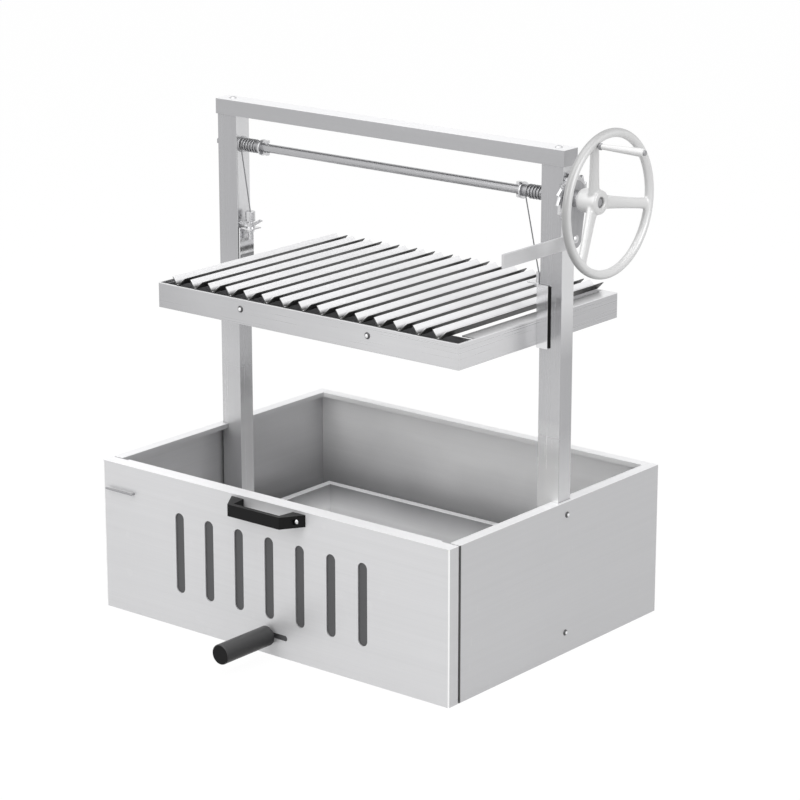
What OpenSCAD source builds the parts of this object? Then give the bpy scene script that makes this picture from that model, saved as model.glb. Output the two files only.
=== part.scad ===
// Charcoal grill insert: sheet firebox with a vented lift-off front, two posts,
// a winch shaft with hand wheel and ratchet, and a V-bar grate raised on two cables.
// Millimetres, +X to the wheel side, +Y to the back, +Z up.
// The origin is on the ground under the middle of the firebox.

/* [Firebox] */
// Outside width of the firebox
box_w = 700; // [640:1:800]
// Outside depth of the firebox
box_d = 535; // [500:1:640]
// Outside height of the firebox
box_h = 246; // [230:1:300]
// Thickness of the firebox sheet
sheet_t = 2; // [1.5:0.1:2.5]
// Width of the folded rim on the side and rear panels
rim_w = 18; // [14:1:22]
// Drop of the folded lip at the rim's inner edge
rim_lip = 8; // [5:1:14]
// Width of the folded rim on the front panel
front_rim_w = 26; // [20:1:32]
// Depth to which the front panel wraps round the sides
front_return = 22; // [16:1:30]
// Open seam between the front panel's return and the side panel
seam_gap = 2.5; // [1.5:0.1:4]
// Width of the side panels' upright front flange
keeper_w = 30; // [26:1:34]

/* [Vents and damper] */
// Number of vent slots
vent_count = 7; // [5:1:7]
// Spacing of the vent slots
vent_pitch = 62; // [56:1:64]
// Width of a vent slot
vent_w = 18; // [12:1:22]
// Height of the vent slots' lower ends above the ground
vent_low = 58; // [52:1:66]
// Distance of the vent slots' upper ends below the panel's top
vent_drop = 56; // [50:1:64]
// Thickness of the sliding damper plate
damper_t = 1.5; // [1.2:0.1:2]
// Height of the damper stud above the ground
stud_z = 33; // [31:1:36]
// Diameter of the damper stud
stud_d = 8; // [6:0.5:9]
// Diameter of the black damper grip
grip_d = 32; // [26:1:36]
// Length of the black damper grip
grip_len = 108; // [80:1:130]
// Gap between the panel and the grip
grip_gap = 6; // [4:0.5:10]

/* [Bow handle] */
// Span of the handle's front bar
handle_bar_w = 104; // [90:1:120]
// Overall span of the handle over its feet
handle_w = 150; // [140:1:180]
// Clear span between the handle's feet
handle_gap_w = 100; // [80:1:104]
// Reach of the handle in front of the panel
handle_reach = 35; // [30:1:45]
// Thickness of the handle's bar
handle_t = 8; // [6:0.5:10]
// Height of the handle's section
handle_h = 19; // [14:1:24]
// Drop of the handle's top below the panel's top
handle_drop = 4.5; // [3:0.5:10]

/* [Ash pan] */
// Inside width of the ash pan
pan_w = 570; // [500:1:576]
// Inside depth of the ash pan
pan_d = 422; // [380:1:430]
// Height of the pan's rim above the ground
pan_top = 100; // [70:1:130]
// Width of the pan's folded rim
pan_rim = 12; // [8:1:14]
// Thickness of the pan's sheet
pan_t = 1.5; // [1.2:0.1:2]

/* [Posts and beam] */
// Height of the beam's top above the ground
frame_h = 790; // [760:1:860]
// Distance of each post's middle from the middle of the grill
post_x = 324; // [318:1:326]
// Width of a post
post_w = 40; // [34:1:44]
// Depth of a post
post_d = 30; // [26:1:36]
// Wall of a post
post_wall = 2; // [1.5:0.1:3]
// Distance of the posts behind the middle of the firebox
post_y = 23; // [15:1:30]
// Height of the beam's section
beam_h = 25; // [22:1:32]
// Wall of the beam
beam_wall = 2; // [1.5:0.1:3]
// Height of the upper side bolt below the firebox's top
side_bolt_drop = 21; // [16:1:40]
// Height of the lower side bolt above the ground
side_bolt_z = 34; // [25:1:50]
// Diameter of a side bolt's shank
side_bolt_d = 6; // [5:0.5:8]
// Diameter of a beam bolt's shank
beam_bolt_d = 8; // [6:0.5:10]

/* [Grate] */
// Outside width of the grate frame
grate_w = 600; // [570:1:602]
// Outside depth of the grate frame
grate_d = 400; // [340:1:420]
// Height of the grate frame's rails
rail_h = 40; // [34:1:50]
// Thickness of the grate frame's sheet
rail_t = 2; // [1.5:0.1:3]
// Drop of the grate frame's underside below the beam's top
grate_drop = 302; // [290:1:320]
// Distance of the grate's middle behind the middle of the firebox
grate_y = 16.5; // [12:0.5:26]
// Width of the flat top of the side rails
rail_top_w = 27; // [22:1:28]
// Number of bars
bar_count = 15; // [11:1:15]
// Spacing of the bars
bar_pitch = 37.2; // [34:0.1:37.4]
// Width of a bar over its top edges
bar_w = 27; // [20:1:29]
// Depth of a bar's V
bar_depth = 12; // [9:0.5:15]
// Thickness of a bar's sheet
bar_t = 2; // [1.5:0.1:2.5]
// Length of the pointed spout at a bar's front end
bar_spout = 4; // [2:0.5:8]
// Width of the grease gutter behind the front rail
gutter_w = 39; // [28:1:44]
// Depth of the grease gutter
gutter_h = 30; // [24:1:31]

/* [Guides and cable] */
// Height of a guide bracket
guide_h = 98; // [85:1:105]
// Thickness of a guide bracket
guide_t = 2; // [1.5:0.1:2.5]
// Distance that a guide bracket's flange reaches over its post
guide_reach = 17; // [10:1:20]
// Gap between a guide bracket's flange and its post
guide_gap = 1.2; // [0.8:0.1:1.5]
// Distance from the grate frame's side to the cable hole
cable_inset = 10; // [9:0.5:13]
// Diameter of the lifting cable
cable_d = 2; // [1.5:0.1:2.5]
// Turns of cable in the outer layer on each drum
cable_turns = 5; // [4:1:5]
// Spacing of the turns of cable
turn_pitch = 5.6; // [5:0.1:5.8]
// Radius of the cable drums
drum_r = 9; // [8.5:0.1:10]

/* [Winch] */
// Drop of the winch shaft below the beam's top
shaft_drop = 73; // [68:1:85]
// Diameter of the winch shaft
shaft_d = 14; // [12:0.5:15]
// Outside diameter of the hand wheel
wheel_d = 224; // [200:1:240]
// Thickness of the wheel's round rim
wheel_rim_d = 14; // [11:0.5:16]
// Distance of the rim's middle from the middle of the grill
wheel_x = 415; // [410:1:424]
// Diameter of the wheel's hub
hub_d = 37; // [32:1:42]
// Length of the wheel's hub
hub_len = 36; // [32:1:40]
// Number of spokes
spoke_count = 3; // [3:1:5]
// Angle of the first spoke from the back, seen from the wheel side
spoke_angle = 111; // [90:1:130]
// Length of the revolving crank grip
crank_len = 74; // [60:1:85]
// Radius of the crank grip at its outer end
crank_r = 6.2; // [5:0.1:9]
// Outside radius of the ratchet wheel
ratchet_r = 39; // [36:0.5:40]
// Number of ratchet teeth
ratchet_teeth = 16; // [16:1:20]
// Depth of a ratchet tooth
tooth_h = 6; // [5:0.5:6]
// Thickness of the ratchet wheel and of the pawl lever
ratchet_t = 5; // [4:0.5:6]
// Drop of the pawl's pivot below the shaft
pawl_drop = 62; // [60:1:66]
// Reach of the pawl lever in front of its pivot
lever_len = 171; // [120:1:190]
// Height of the pawl lever's bar
lever_h = 21; // [16:1:22]

/* [Hook latch] */
// Diameter of the latch's wire
wire_d = 3.5; // [3:0.1:4.5]
// Length of the latch's outer arm
latch_arm = 55; // [45:1:60]
// Drop of the latch below the firebox's top
latch_drop = 44; // [36:1:51]
// Distance of the latch's pivot from the side panel's flange
latch_reach = 34; // [30:1:46]

/* [Hidden] */
$fn = 48;

// Overrun of every cut
over = 1;
// Clearance of a part that turns or slides on another
run_clear = 0.05;
// Clearance between parts that only lie close together
near = 0.3;

// Firebox places
box_hw = box_w / 2;
front_y = -box_d / 2;
rear_y = box_d / 2;
side_front_y = front_y + front_return + seam_gap;
lip_x = box_hw - rim_w;
keeper_x = box_hw - sheet_t - keeper_w;
panel_back_y = front_y + sheet_t;

// Post and beam places
post_in_x = post_x - post_w / 2;
post_out_x = post_x + post_w / 2;
post_front_y = post_y - post_d / 2;
post_back_y = post_y + post_d / 2;
post_top = frame_h - beam_wall;
beam_clear = 0.2;
beam_hw = post_out_x + beam_clear + beam_wall;
beam_hd = post_d / 2 + beam_clear + beam_wall;
notch_clear = 1;
side_bolt_zs = [side_bolt_z, box_h - side_bolt_drop];
side_bolt_head_r = 5;
side_bolt_head_h = 3.2;
side_bolt_len = 16;
nut_h = 5;
nut_share = 0.87;
plug_h = 20;
plug_drop = 3;
plug_clear = 0.2;
beam_head_r = 6.5;
beam_head_h = 3;
beam_bolt_len = 24;

// Shaft and wheel places
shaft_z = frame_h - shaft_drop;
shaft_r = shaft_d / 2;
bush_r = 10;
bush_flange_r = 13;
bush_flange_t = 2;
bush_end = 2.5;
end_float = 0.5;
shaft_left_x = -(post_out_x + bush_end + end_float);
ratchet_x = post_out_x + bush_end + end_float;
boss_r = 12;
boss_len = 15;
hub_x = ratchet_x + ratchet_t + boss_len;
hub_face_x = hub_x + hub_len;
hub_recess_r = 8;
hub_recess = 12;
shaft_right_x = hub_face_x - hub_recess;
tap_r = 3;
tap_len = 20;
end_bolt_len = 12;
end_head_r = 6.5;
end_head_h = 7;
washer_t = 1.5;
rim_r = wheel_d / 2 - wheel_rim_d / 2;
spoke_root_share = 0.66;
spoke_r_hub = 10;
spoke_r_rim = 7.5;
spoke_t = 12;
crank_inset = 7;
crank_axis_r = rim_r - crank_inset;
crank_y = post_y + crank_axis_r * cos(spoke_angle);
crank_z = shaft_z + crank_axis_r * sin(spoke_angle);
spindle_r = 2.5;
crank_base_r = 4;
spindle_nut_h = 4;
spindle_nut_r = 5.5;
crank_x = wheel_x + wheel_rim_d / 2 + spindle_nut_h;
crank_end_x = crank_x + crank_len;
spindle_head_h = 2;
crank_swell_share = 0.85;
crank_bevel = 1.5;

// Pivot plate and pawl places
plate_t = 3;
plate_gap = 1.2;
plate_x = ratchet_x + ratchet_t + plate_gap;
plate_r = 27;
plate_foot_r = 14;
pawl_back = 2.5;
pawl_y = post_y + pawl_back;
pawl_z = shaft_z - pawl_drop;
pivot_r = 4;
pivot_head_r = 6.5;
pivot_head_h = 2.5;
pivot_spacer_r = 7;
pivot_eye_r = 11;
lever_rise = 7;
nose_angle = 233;
nose_start = 3;
nose_span = 10;
nose_gap = 0.4;

// Cable drums and windings
drum_len = 38;
drum_gap = 4;
drum_out_x = post_in_x - drum_gap;
drum_in_x = drum_out_x - drum_len;
winding_rise = 0.15;
winding_r = drum_r + cable_d / 2 + winding_rise;
winding_span = cable_turns * turn_pitch;
live_inset = 9;
live_right_x = drum_in_x + live_inset;
live_left_x = -(live_right_x + winding_span);
live_y = post_y - winding_r;
collar_r = 13;
collar_t = 3;
anchor_gap = 10;
anchor_x = drum_in_x - anchor_gap;
anchor_r = 3;
anchor_head_r = 5;
anchor_head_h = 4;
anchor_stand = 8;
anchor_end = 1;
run_top = shaft_z - cable_d - near;
ring_sides = 6;
rings_per_turn = 24;

// Grate places
grate_z = frame_h - grate_drop;
grate_hw = grate_w / 2;
grate_front = grate_y - grate_d / 2;
grate_back = grate_y + grate_d / 2;
rail_top = grate_z + rail_h;
bar_hw = bar_w / 2;
bars_x0 = -(bar_count - 1) * bar_pitch / 2;
gutter_t = 1.5;
gutter_side = 6;
gutter_hw = grate_hw - rail_t - gutter_side;
gutter_drop = 2.5;
gutter_top = rail_top - gutter_drop;
gutter_bolt_x = 127;
gutter_bolt_drop = 16;
gutter_bolt_z = rail_top - gutter_bolt_drop;
gutter_bolt_r = 3;
gutter_head_r = 5.5;
gutter_head_h = 3;
rail_top_gap = 1;
rail_top_start = rail_t + gutter_w + rail_top_gap;

// Guide brackets and cable ends
guide_low = 4;
guide_z = grate_z - guide_low;
guide_top = guide_z + guide_h;
guide_half_d = post_d / 2 + guide_gap + guide_t;
tab_w = 24;
tab_half_d = 12;
cable_x = grate_hw - cable_inset;
tab_hole_r = 4.2;
stop_r = 6;
stop_h = 5;
ferrule_r = 3.5;
ferrule_h = 14;
level_r = 4;
level_drop = 20;
level_rise = 14;
wing_hub_r = 7;
wing_hub_h = 8;
wing_span = 42;
wing_t = 2.5;
wing_h = 9;
wing_tip = 5;
wing_root = 5.6;
wing_inset = 1;
wing_turn = 60;
sleeve_r = 8;
sleeve_h = 16;
sleeve_gap = 2.5;
sleeve_z = guide_top + wing_hub_h + sleeve_gap;
rivet_r = 2.5;
rivet_head_r = 4;
rivet_head_h = 1.2;
rivet_shares = [0.3, 0.7];
rivet_zs = [for (share = rivet_shares) grate_z + rail_h * share];

// Damper, handle and latch places
vent_x0 = -(vent_count - 1) * vent_pitch / 2;
vent_len = box_h - vent_low - vent_drop;
vent_z = vent_low + vent_len / 2;
damper_travel = vent_pitch / 2;
damper_y = panel_back_y + near;
damper_side = 21;
damper_foot = 15;
damper_head = 16;
damper_right = -vent_x0 + vent_w / 2 + damper_side;
damper_left = -damper_right - damper_travel;
damper_low = stud_z - damper_foot;
damper_top = vent_z + vent_len / 2 + damper_head;
damper_rail_w = 10;
damper_rail_lap = 6;
damper_rail_gap = 0.5;
damper_rail_t = 1.5;
lever_slot_clear = 0.6;
damper_nut_r = 7;
grip_bevel = 1.5;
stud_in_grip = 40;
handle_top = box_h - handle_drop;
handle_low = handle_top - handle_h;
handle_screw_inset = 9;
handle_screw_x = handle_w / 2 - handle_screw_inset;
handle_screw_r = 2.5;
handle_head_r = 4.5;
handle_head_h = 2.5;
latch_z = box_h - latch_drop;
latch_x = keeper_x - latch_reach;
latch_out = 6;
latch_hole_clear = 0.08;
latch_gap = 1.2;
latch_bite = 7;
latch_in_y = side_front_y + sheet_t + latch_gap + wire_d / 2;
latch_in_arm = latch_reach + latch_bite;
lug_h = 20;

steel = [0.78, 0.78, 0.8];
bright = [0.88, 0.88, 0.9];
dull = [0.62, 0.62, 0.64];
black = [0.1, 0.1, 0.1];

// Straight-sided block between two corners
module block(lo, hi) { translate(lo) cube(hi - lo); }
module rod_x(x0, x1, y, z, r) { translate([x0, y, z]) rotate([0, 90, 0]) cylinder(h = x1 - x0, r = r); }
module rod_y(x, y0, y1, z, r) { translate([x, y0, z]) rotate([-90, 0, 0]) cylinder(h = y1 - y0, r = r); }
module rod_z(x, y, z0, z1, r) { translate([x, y, z0]) cylinder(h = z1 - z0, r = r); }
module hex_x(x0, x1, y, z, r) { translate([x0, y, z]) rotate([0, 90, 0]) cylinder(h = x1 - x0, r = r, $fn = 6); }
module hex_z(x, y, z0, z1, r) { translate([x, y, z0]) cylinder(h = z1 - z0, r = r, $fn = 6); }
module button_x(x, y, z, r, h, dir) {
    translate([x, y, z]) rotate([0, 90 * dir, 0]) rotate_extrude() button_half(r, h);
}
module button_y(x, y, z, r, h) {
    translate([x, y, z]) rotate([90, 0, 0]) rotate_extrude() button_half(r, h);
}
// Half outline of a low domed head
module button_half(r, h) {
    dome_r = (r * r + h * h) / (2 * h);
    intersection() {
        translate([0, h - dome_r]) circle(r = dome_r);
        square([r, h]);
    }
}

// Side panel on the wheel side; side = -1 gives the other one
module side_panel(side) {
    mirror([side < 0 ? 1 : 0, 0, 0]) difference() {
        union() {
            block([box_hw - sheet_t, side_front_y, 0], [box_hw, rear_y, box_h]);
            block([lip_x, side_front_y, box_h - sheet_t], [box_hw, rear_y, box_h]);
            block([lip_x, side_front_y + sheet_t, box_h - rim_lip], [lip_x + sheet_t, rear_y - sheet_t, box_h]);
            block([keeper_x, side_front_y, 0], [box_hw, side_front_y + sheet_t, box_h - sheet_t]);
        }
        block([lip_x - over, post_front_y - notch_clear, box_h - rim_lip - over],
              [post_out_x + notch_clear, post_back_y + notch_clear, box_h + over]);
        for (z = side_bolt_zs) rod_x(box_hw - sheet_t - over, box_hw + over, post_y, z, side_bolt_d / 2);
    }
}
module left_panel() { color(steel) side_panel(-1); }
module right_panel() { color(steel) side_panel(1); }

module rear_panel() {
    color(steel) union() {
        block([-box_hw + sheet_t, rear_y - sheet_t, 0], [box_hw - sheet_t, rear_y, box_h - sheet_t]);
        block([-lip_x, rear_y - rim_w, box_h - sheet_t], [lip_x, rear_y, box_h]);
        block([-lip_x, rear_y - rim_w, box_h - rim_lip], [lip_x, rear_y - rim_w + sheet_t, box_h]);
    }
}

module floor_plate() {
    color(steel) difference() {
        block([-box_hw + sheet_t, panel_back_y + near, 0], [box_hw - sheet_t, rear_y - sheet_t, sheet_t]);
        for (side = [-1, 1]) {
            block([side > 0 ? keeper_x : -box_hw, side_front_y, -over],
                  [side > 0 ? box_hw : -keeper_x, side_front_y + sheet_t, sheet_t + over]);
        }
    }
}

// One square-tube post on the wheel side
module post(side) {
    mirror([side < 0 ? 1 : 0, 0, 0]) difference() {
        block([post_in_x, post_front_y, sheet_t], [post_out_x, post_back_y, post_top]);
        block([post_in_x + post_wall, post_front_y + post_wall, sheet_t - over],
              [post_out_x - post_wall, post_back_y - post_wall, post_top + over]);
        rod_x(post_in_x - over, post_out_x + over, post_y, shaft_z, bush_r);
        for (z = side_bolt_zs) rod_x(post_out_x - post_wall - over, post_out_x + over, post_y, z, side_bolt_d / 2);
        if (side > 0) rod_x(post_out_x - post_wall - over, post_out_x + over, pawl_y, pawl_z, pivot_r);
    }
}
module left_post() { color(steel) post(-1); }
module right_post() { color(steel) post(1); }

// Button-head bolt through side panel, spacer and post wall, with its nut in the post
module post_bolts() {
    color(bright) for (side = [-1, 1], z = side_bolt_zs) mirror([side < 0 ? 1 : 0, 0, 0]) {
        union() {
            button_x(box_hw, post_y, z, side_bolt_head_r, side_bolt_head_h, 1);
            rod_x(box_hw - side_bolt_len, box_hw, post_y, z, side_bolt_d / 2);
        }
        difference() {
            hex_x(post_out_x - post_wall - nut_h, post_out_x - post_wall, post_y, z, side_bolt_d);
            rod_x(post_out_x - post_wall - nut_h - over, post_out_x, post_y, z, side_bolt_d / 2);
        }
    }
}
module post_spacers() {
    color(dull) for (side = [-1, 1], z = side_bolt_zs) mirror([side < 0 ? 1 : 0, 0, 0]) difference() {
        rod_x(post_out_x, box_hw - sheet_t, post_y, z, side_bolt_d);
        rod_x(post_out_x - over, box_hw, post_y, z, side_bolt_d / 2);
    }
}

// Inverted channel that caps both posts
module top_beam() {
    color(steel) difference() {
        block([-beam_hw, post_y - beam_hd, frame_h - beam_h], [beam_hw, post_y + beam_hd, frame_h]);
        block([-beam_hw + beam_wall, post_y - beam_hd + beam_wall, frame_h - beam_h - over],
              [beam_hw - beam_wall, post_y + beam_hd - beam_wall, frame_h - beam_wall]);
        for (side = [-1, 1]) rod_z(side * post_x, post_y, frame_h - beam_h, frame_h + over, beam_bolt_d / 2);
    }
}
module post_plugs() {
    color(dull) for (side = [-1, 1]) difference() {
        block([side * post_x - post_w / 2 + post_wall + plug_clear, post_front_y + post_wall + plug_clear,
               post_top - plug_drop - plug_h],
              [side * post_x + post_w / 2 - post_wall - plug_clear, post_back_y - post_wall - plug_clear,
               post_top - plug_drop]);
        rod_z(side * post_x, post_y, post_top - plug_drop - plug_h - over, post_top, beam_bolt_d / 2);
    }
}
module beam_bolts() {
    color(bright) for (side = [-1, 1]) union() {
        translate([side * post_x, post_y, frame_h]) rotate_extrude() button_half(beam_head_r, beam_head_h);
        rod_z(side * post_x, post_y, frame_h - beam_bolt_len, frame_h, beam_bolt_d / 2);
    }
}

// Flanged bush that carries the shaft through a post
module shaft_bushes() {
    color(dull) for (side = [-1, 1]) mirror([side < 0 ? 1 : 0, 0, 0]) difference() {
        union() {
            rod_x(post_in_x - bush_flange_t, post_in_x, post_y, shaft_z, bush_flange_r);
            rod_x(post_in_x, post_out_x + bush_end, post_y, shaft_z, bush_r);
        }
        rod_x(post_in_x - bush_flange_t - over, post_out_x + bush_end + over, post_y, shaft_z, shaft_r + run_clear);
    }
}

// Outline in the plane of the ratchet: first value to the back, second up
module plate_outline() {
    union() {
        translate([post_y, shaft_z]) circle(r = plate_r);
        translate([pawl_y, pawl_z]) circle(r = plate_foot_r);
        polygon([[post_y - plate_r, shaft_z], [pawl_y - plate_foot_r, pawl_z],
                 [pawl_y + plate_foot_r, pawl_z], [post_y + plate_r, shaft_z]]);
    }
}
module extrude_x(x, t) { translate([x, 0, 0]) rotate([90, 0, 90]) linear_extrude(t) children(); }
module pivot_plate() {
    color(steel) difference() {
        extrude_x(plate_x, plate_t) plate_outline();
        rod_x(plate_x - over, plate_x + plate_t + over, post_y, shaft_z, boss_r + run_clear);
        rod_x(plate_x - over, plate_x + plate_t + over, pawl_y, pawl_z, pivot_r);
    }
}
module pawl_pivot_bolt() {
    color(bright) {
        union() {
            button_x(plate_x + plate_t, pawl_y, pawl_z, pivot_head_r, pivot_head_h, 1);
            rod_x(post_out_x - post_wall - nut_h - over, plate_x + plate_t, pawl_y, pawl_z, pivot_r);
        }
        difference() {
            hex_x(post_out_x - post_wall - nut_h, post_out_x - post_wall, pawl_y, pawl_z, pivot_spacer_r);
            rod_x(post_out_x - post_wall - nut_h - over, post_out_x, pawl_y, pawl_z, pivot_r);
        }
    }
}
module pivot_spacers() {
    color(dull) {
        difference() {
            rod_x(post_out_x, ratchet_x - near, pawl_y, pawl_z, pivot_spacer_r);
            rod_x(post_out_x - over, ratchet_x + over, pawl_y, pawl_z, pivot_r);
        }
        difference() {
            rod_x(ratchet_x + ratchet_t + near, plate_x, pawl_y, pawl_z, pivot_spacer_r);
            rod_x(ratchet_x, plate_x + over, pawl_y, pawl_z, pivot_r);
        }
    }
}

// Straight cable between two points
module cable(a, b) {
    d = b - a;
    len = norm(d);
    translate(a) rotate([0, acos(d[2] / len), atan2(d[1], d[0])]) cylinder(h = len, d = cable_d);
}
module cable_run_left() {
    color(bright) cable([live_left_x, live_y, run_top], [-cable_x, post_y, sleeve_z + sleeve_h + near]);
}
module cable_run_right() {
    color(bright) cable([live_right_x, live_y, run_top], [cable_x, post_y, guide_top + ferrule_h + near]);
}

// Vent slots at the panel's places, cut through y0 to y1
module vent_slots(y0, y1) {
    for (i = [0 : vent_count - 1]) {
        x = vent_x0 + i * vent_pitch;
        half = (vent_len - vent_w) / 2;
        block([x - vent_w / 2, y0, vent_z - half], [x + vent_w / 2, y1, vent_z + half]);
        for (side = [-1, 1]) rod_y(x, y0, y1, vent_z + side * half, vent_w / 2);
    }
}
module front_panel() {
    slot_r = stud_d / 2 + lever_slot_clear;
    color(steel) difference() {
        union() {
            block([-box_hw, front_y, 0], [box_hw, panel_back_y, box_h]);
            for (side = [-1, 1]) {
                block([side > 0 ? box_hw - sheet_t : -box_hw, front_y, 0],
                      [side > 0 ? box_hw : -box_hw + sheet_t, front_y + front_return, box_h]);
            }
            block([-box_hw, front_y, box_h - sheet_t], [box_hw, front_y + front_return, box_h]);
            block([-keeper_x + near, front_y, box_h - sheet_t], [keeper_x - near, front_y + front_rim_w, box_h]);
            block([-keeper_x + near, front_y + front_rim_w - sheet_t, box_h - rim_lip],
                  [keeper_x - near, front_y + front_rim_w, box_h]);
        }
        vent_slots(front_y - over, panel_back_y + over);
        block([0, front_y - over, stud_z - slot_r], [damper_travel, panel_back_y + over, stud_z + slot_r]);
        for (x = [0, damper_travel]) rod_y(x, front_y - over, panel_back_y + over, stud_z, slot_r);
        rod_y(-latch_x, front_y - over, panel_back_y + over, latch_z, wire_d / 2 + latch_hole_clear);
        for (side = [-1, 1]) {
            rod_y(side * handle_screw_x, front_y - over, panel_back_y + over, handle_low + handle_h / 2, handle_screw_r);
        }
    }
}

// Depth of the handle's slanted leg at a distance x from its middle
function leg_y(x) = front_y - handle_reach * (handle_w / 2 - x) / (handle_w / 2 - handle_bar_w / 2);
module bow_handle() {
    color(black) difference() {
        translate([0, 0, handle_low]) linear_extrude(handle_h) polygon([
            [-handle_w / 2, front_y], [-handle_bar_w / 2, front_y - handle_reach],
            [handle_bar_w / 2, front_y - handle_reach], [handle_w / 2, front_y],
            [handle_gap_w / 2, front_y], [handle_gap_w / 2 - handle_t / 2, front_y - handle_reach + handle_t],
            [-handle_gap_w / 2 + handle_t / 2, front_y - handle_reach + handle_t], [-handle_gap_w / 2, front_y]
        ]);
        for (side = [-1, 1]) {
            rod_y(side * handle_screw_x, front_y - handle_reach - over, front_y + over,
                  handle_low + handle_h / 2, handle_screw_r);
            rod_y(side * handle_screw_x, front_y - handle_reach - over, leg_y(handle_screw_x) + handle_head_h,
                  handle_low + handle_h / 2, handle_head_r);
        }
    }
}
module handle_screws() {
    z = handle_low + handle_h / 2;
    seat_y = leg_y(handle_screw_x) + handle_head_h;
    color(bright) for (side = [-1, 1]) {
        x = side * handle_screw_x;
        union() {
            button_y(x, seat_y, z, handle_head_r - near, handle_head_h);
            rod_y(x, seat_y, panel_back_y + nut_h, z, handle_screw_r);
        }
        difference() {
            translate([x, panel_back_y, z]) rotate([-90, 0, 0]) cylinder(h = nut_h - near, r = handle_head_r, $fn = 6);
            rod_y(x, panel_back_y - over, panel_back_y + nut_h, z, handle_screw_r);
        }
    }
}

// Two folded strips that hold the damper plate against the panel
module damper_rails() {
    hw = damper_right + damper_travel;
    lip_y = damper_y + damper_t + near;
    color(dull) {
        union() {
            block([damper_left, panel_back_y, damper_top + damper_rail_gap],
                  [hw, lip_y + damper_rail_t, damper_top + damper_rail_gap + damper_rail_w]);
            block([damper_left, lip_y, damper_top - damper_rail_lap],
                  [hw, lip_y + damper_rail_t, damper_top + damper_rail_gap]);
        }
        union() {
            block([damper_left, panel_back_y, damper_low - damper_rail_gap - damper_rail_w],
                  [hw, lip_y + damper_rail_t, damper_low - damper_rail_gap]);
            block([damper_left, lip_y, damper_low - damper_rail_gap],
                  [hw, lip_y + damper_rail_t, damper_low + damper_rail_lap]);
        }
    }
}
// Folded lug that catches behind the right side panel's front flange
module panel_lug() {
    arm_y = side_front_y + sheet_t + near;
    color(dull) union() {
        block([keeper_x - lug_h, panel_back_y, latch_z - lug_h / 2], [keeper_x - near, panel_back_y + sheet_t, latch_z + lug_h / 2]);
        block([keeper_x - near - sheet_t, panel_back_y, latch_z - lug_h / 2], [keeper_x - near, arm_y + sheet_t, latch_z + lug_h / 2]);
        block([keeper_x - near - sheet_t, arm_y, latch_z - lug_h / 2], [lip_x - sheet_t, arm_y + sheet_t, latch_z + lug_h / 2]);
    }
}
// Bent wire: outer arm on the face, inner arm behind the left side panel's front flange
module hook_latch() {
    r = wire_d / 2;
    out_y = front_y - latch_out;
    color(bright) union() {
        rod_y(-latch_x, out_y, latch_in_y, latch_z, r);
        rod_x(-latch_x - latch_arm, -latch_x, out_y, latch_z, r);
        rod_x(-latch_x - latch_in_arm, -latch_x, latch_in_y, latch_z, r);
        for (p = [[-latch_x, out_y], [-latch_x, latch_in_y], [-latch_x - latch_arm, out_y]]) {
            translate([p[0], p[1], latch_z]) sphere(r = r);
        }
    }
}

module damper_plate() {
    color(dull) difference() {
        block([damper_left, damper_y, damper_low], [damper_right, damper_y + damper_t, damper_top]);
        translate([-damper_travel, 0, 0]) vent_slots(damper_y - over, damper_y + damper_t + over);
        rod_y(0, damper_y - over, damper_y + damper_t + over, stud_z, stud_d / 2);
    }
}
module damper_stud() {
    color(bright) rod_y(0, front_y - grip_gap - stud_in_grip, damper_y + damper_t + nut_h + over, stud_z, stud_d / 2);
}
module damper_nut() {
    color(bright) difference() {
        translate([0, damper_y + damper_t, stud_z]) rotate([-90, 0, 0]) cylinder(h = nut_h, r = damper_nut_r, $fn = 6);
        rod_y(0, damper_y, damper_y + damper_t + nut_h + over, stud_z, stud_d / 2);
    }
}
module damper_grip() {
    r = grip_d / 2;
    color(black) translate([0, front_y - grip_gap, stud_z]) rotate([90, 0, 0]) rotate_extrude() polygon([
        [stud_d / 2, 0], [r - grip_bevel, 0], [r, grip_bevel], [r, grip_len - grip_bevel],
        [r - grip_bevel, grip_len], [0, grip_len], [0, stud_in_grip], [stud_d / 2, stud_in_grip]
    ]);
}

module ash_pan() {
    hw = pan_w / 2 + pan_t;
    hd = pan_d / 2 + pan_t;
    z0 = sheet_t;
    color(steel) union() {
        difference() {
            block([-hw, -hd, z0], [hw, hd, pan_top]);
            block([-pan_w / 2, -pan_d / 2, z0 + pan_t], [pan_w / 2, pan_d / 2, pan_top + over]);
        }
        difference() {
            block([-pan_w / 2 - pan_rim, -pan_d / 2 - pan_rim, pan_top - pan_t], [pan_w / 2 + pan_rim, pan_d / 2 + pan_rim, pan_top]);
            block([-pan_w / 2, -pan_d / 2, pan_top - pan_t - over], [pan_w / 2, pan_d / 2, pan_top + over]);
        }
    }
}

module winch_shaft() {
    color(bright) difference() {
        rod_x(shaft_left_x, shaft_right_x, post_y, shaft_z, shaft_r);
        rod_x(shaft_left_x - over, shaft_left_x + tap_len, post_y, shaft_z, tap_r);
        rod_x(shaft_right_x - tap_len, shaft_right_x + over, post_y, shaft_z, tap_r);
        for (side = [-1, 1]) rod_z(side * anchor_x, post_y, shaft_z - shaft_r - over, shaft_z + shaft_r + over, anchor_r);
    }
}
module cable_drums() {
    color(dull) for (side = [-1, 1]) mirror([side < 0 ? 1 : 0, 0, 0]) difference() {
        rod_x(drum_in_x, drum_out_x, post_y, shaft_z, drum_r);
        rod_x(drum_in_x - over, drum_out_x + over, post_y, shaft_z, shaft_r);
    }
}
module drum_collars() {
    color(bright) for (side = [-1, 1]) mirror([side < 0 ? 1 : 0, 0, 0]) difference() {
        rod_x(drum_in_x - collar_t, drum_in_x, post_y, shaft_z, collar_r);
        rod_x(drum_in_x - collar_t - over, drum_in_x + over, post_y, shaft_z, shaft_r);
    }
}

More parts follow.
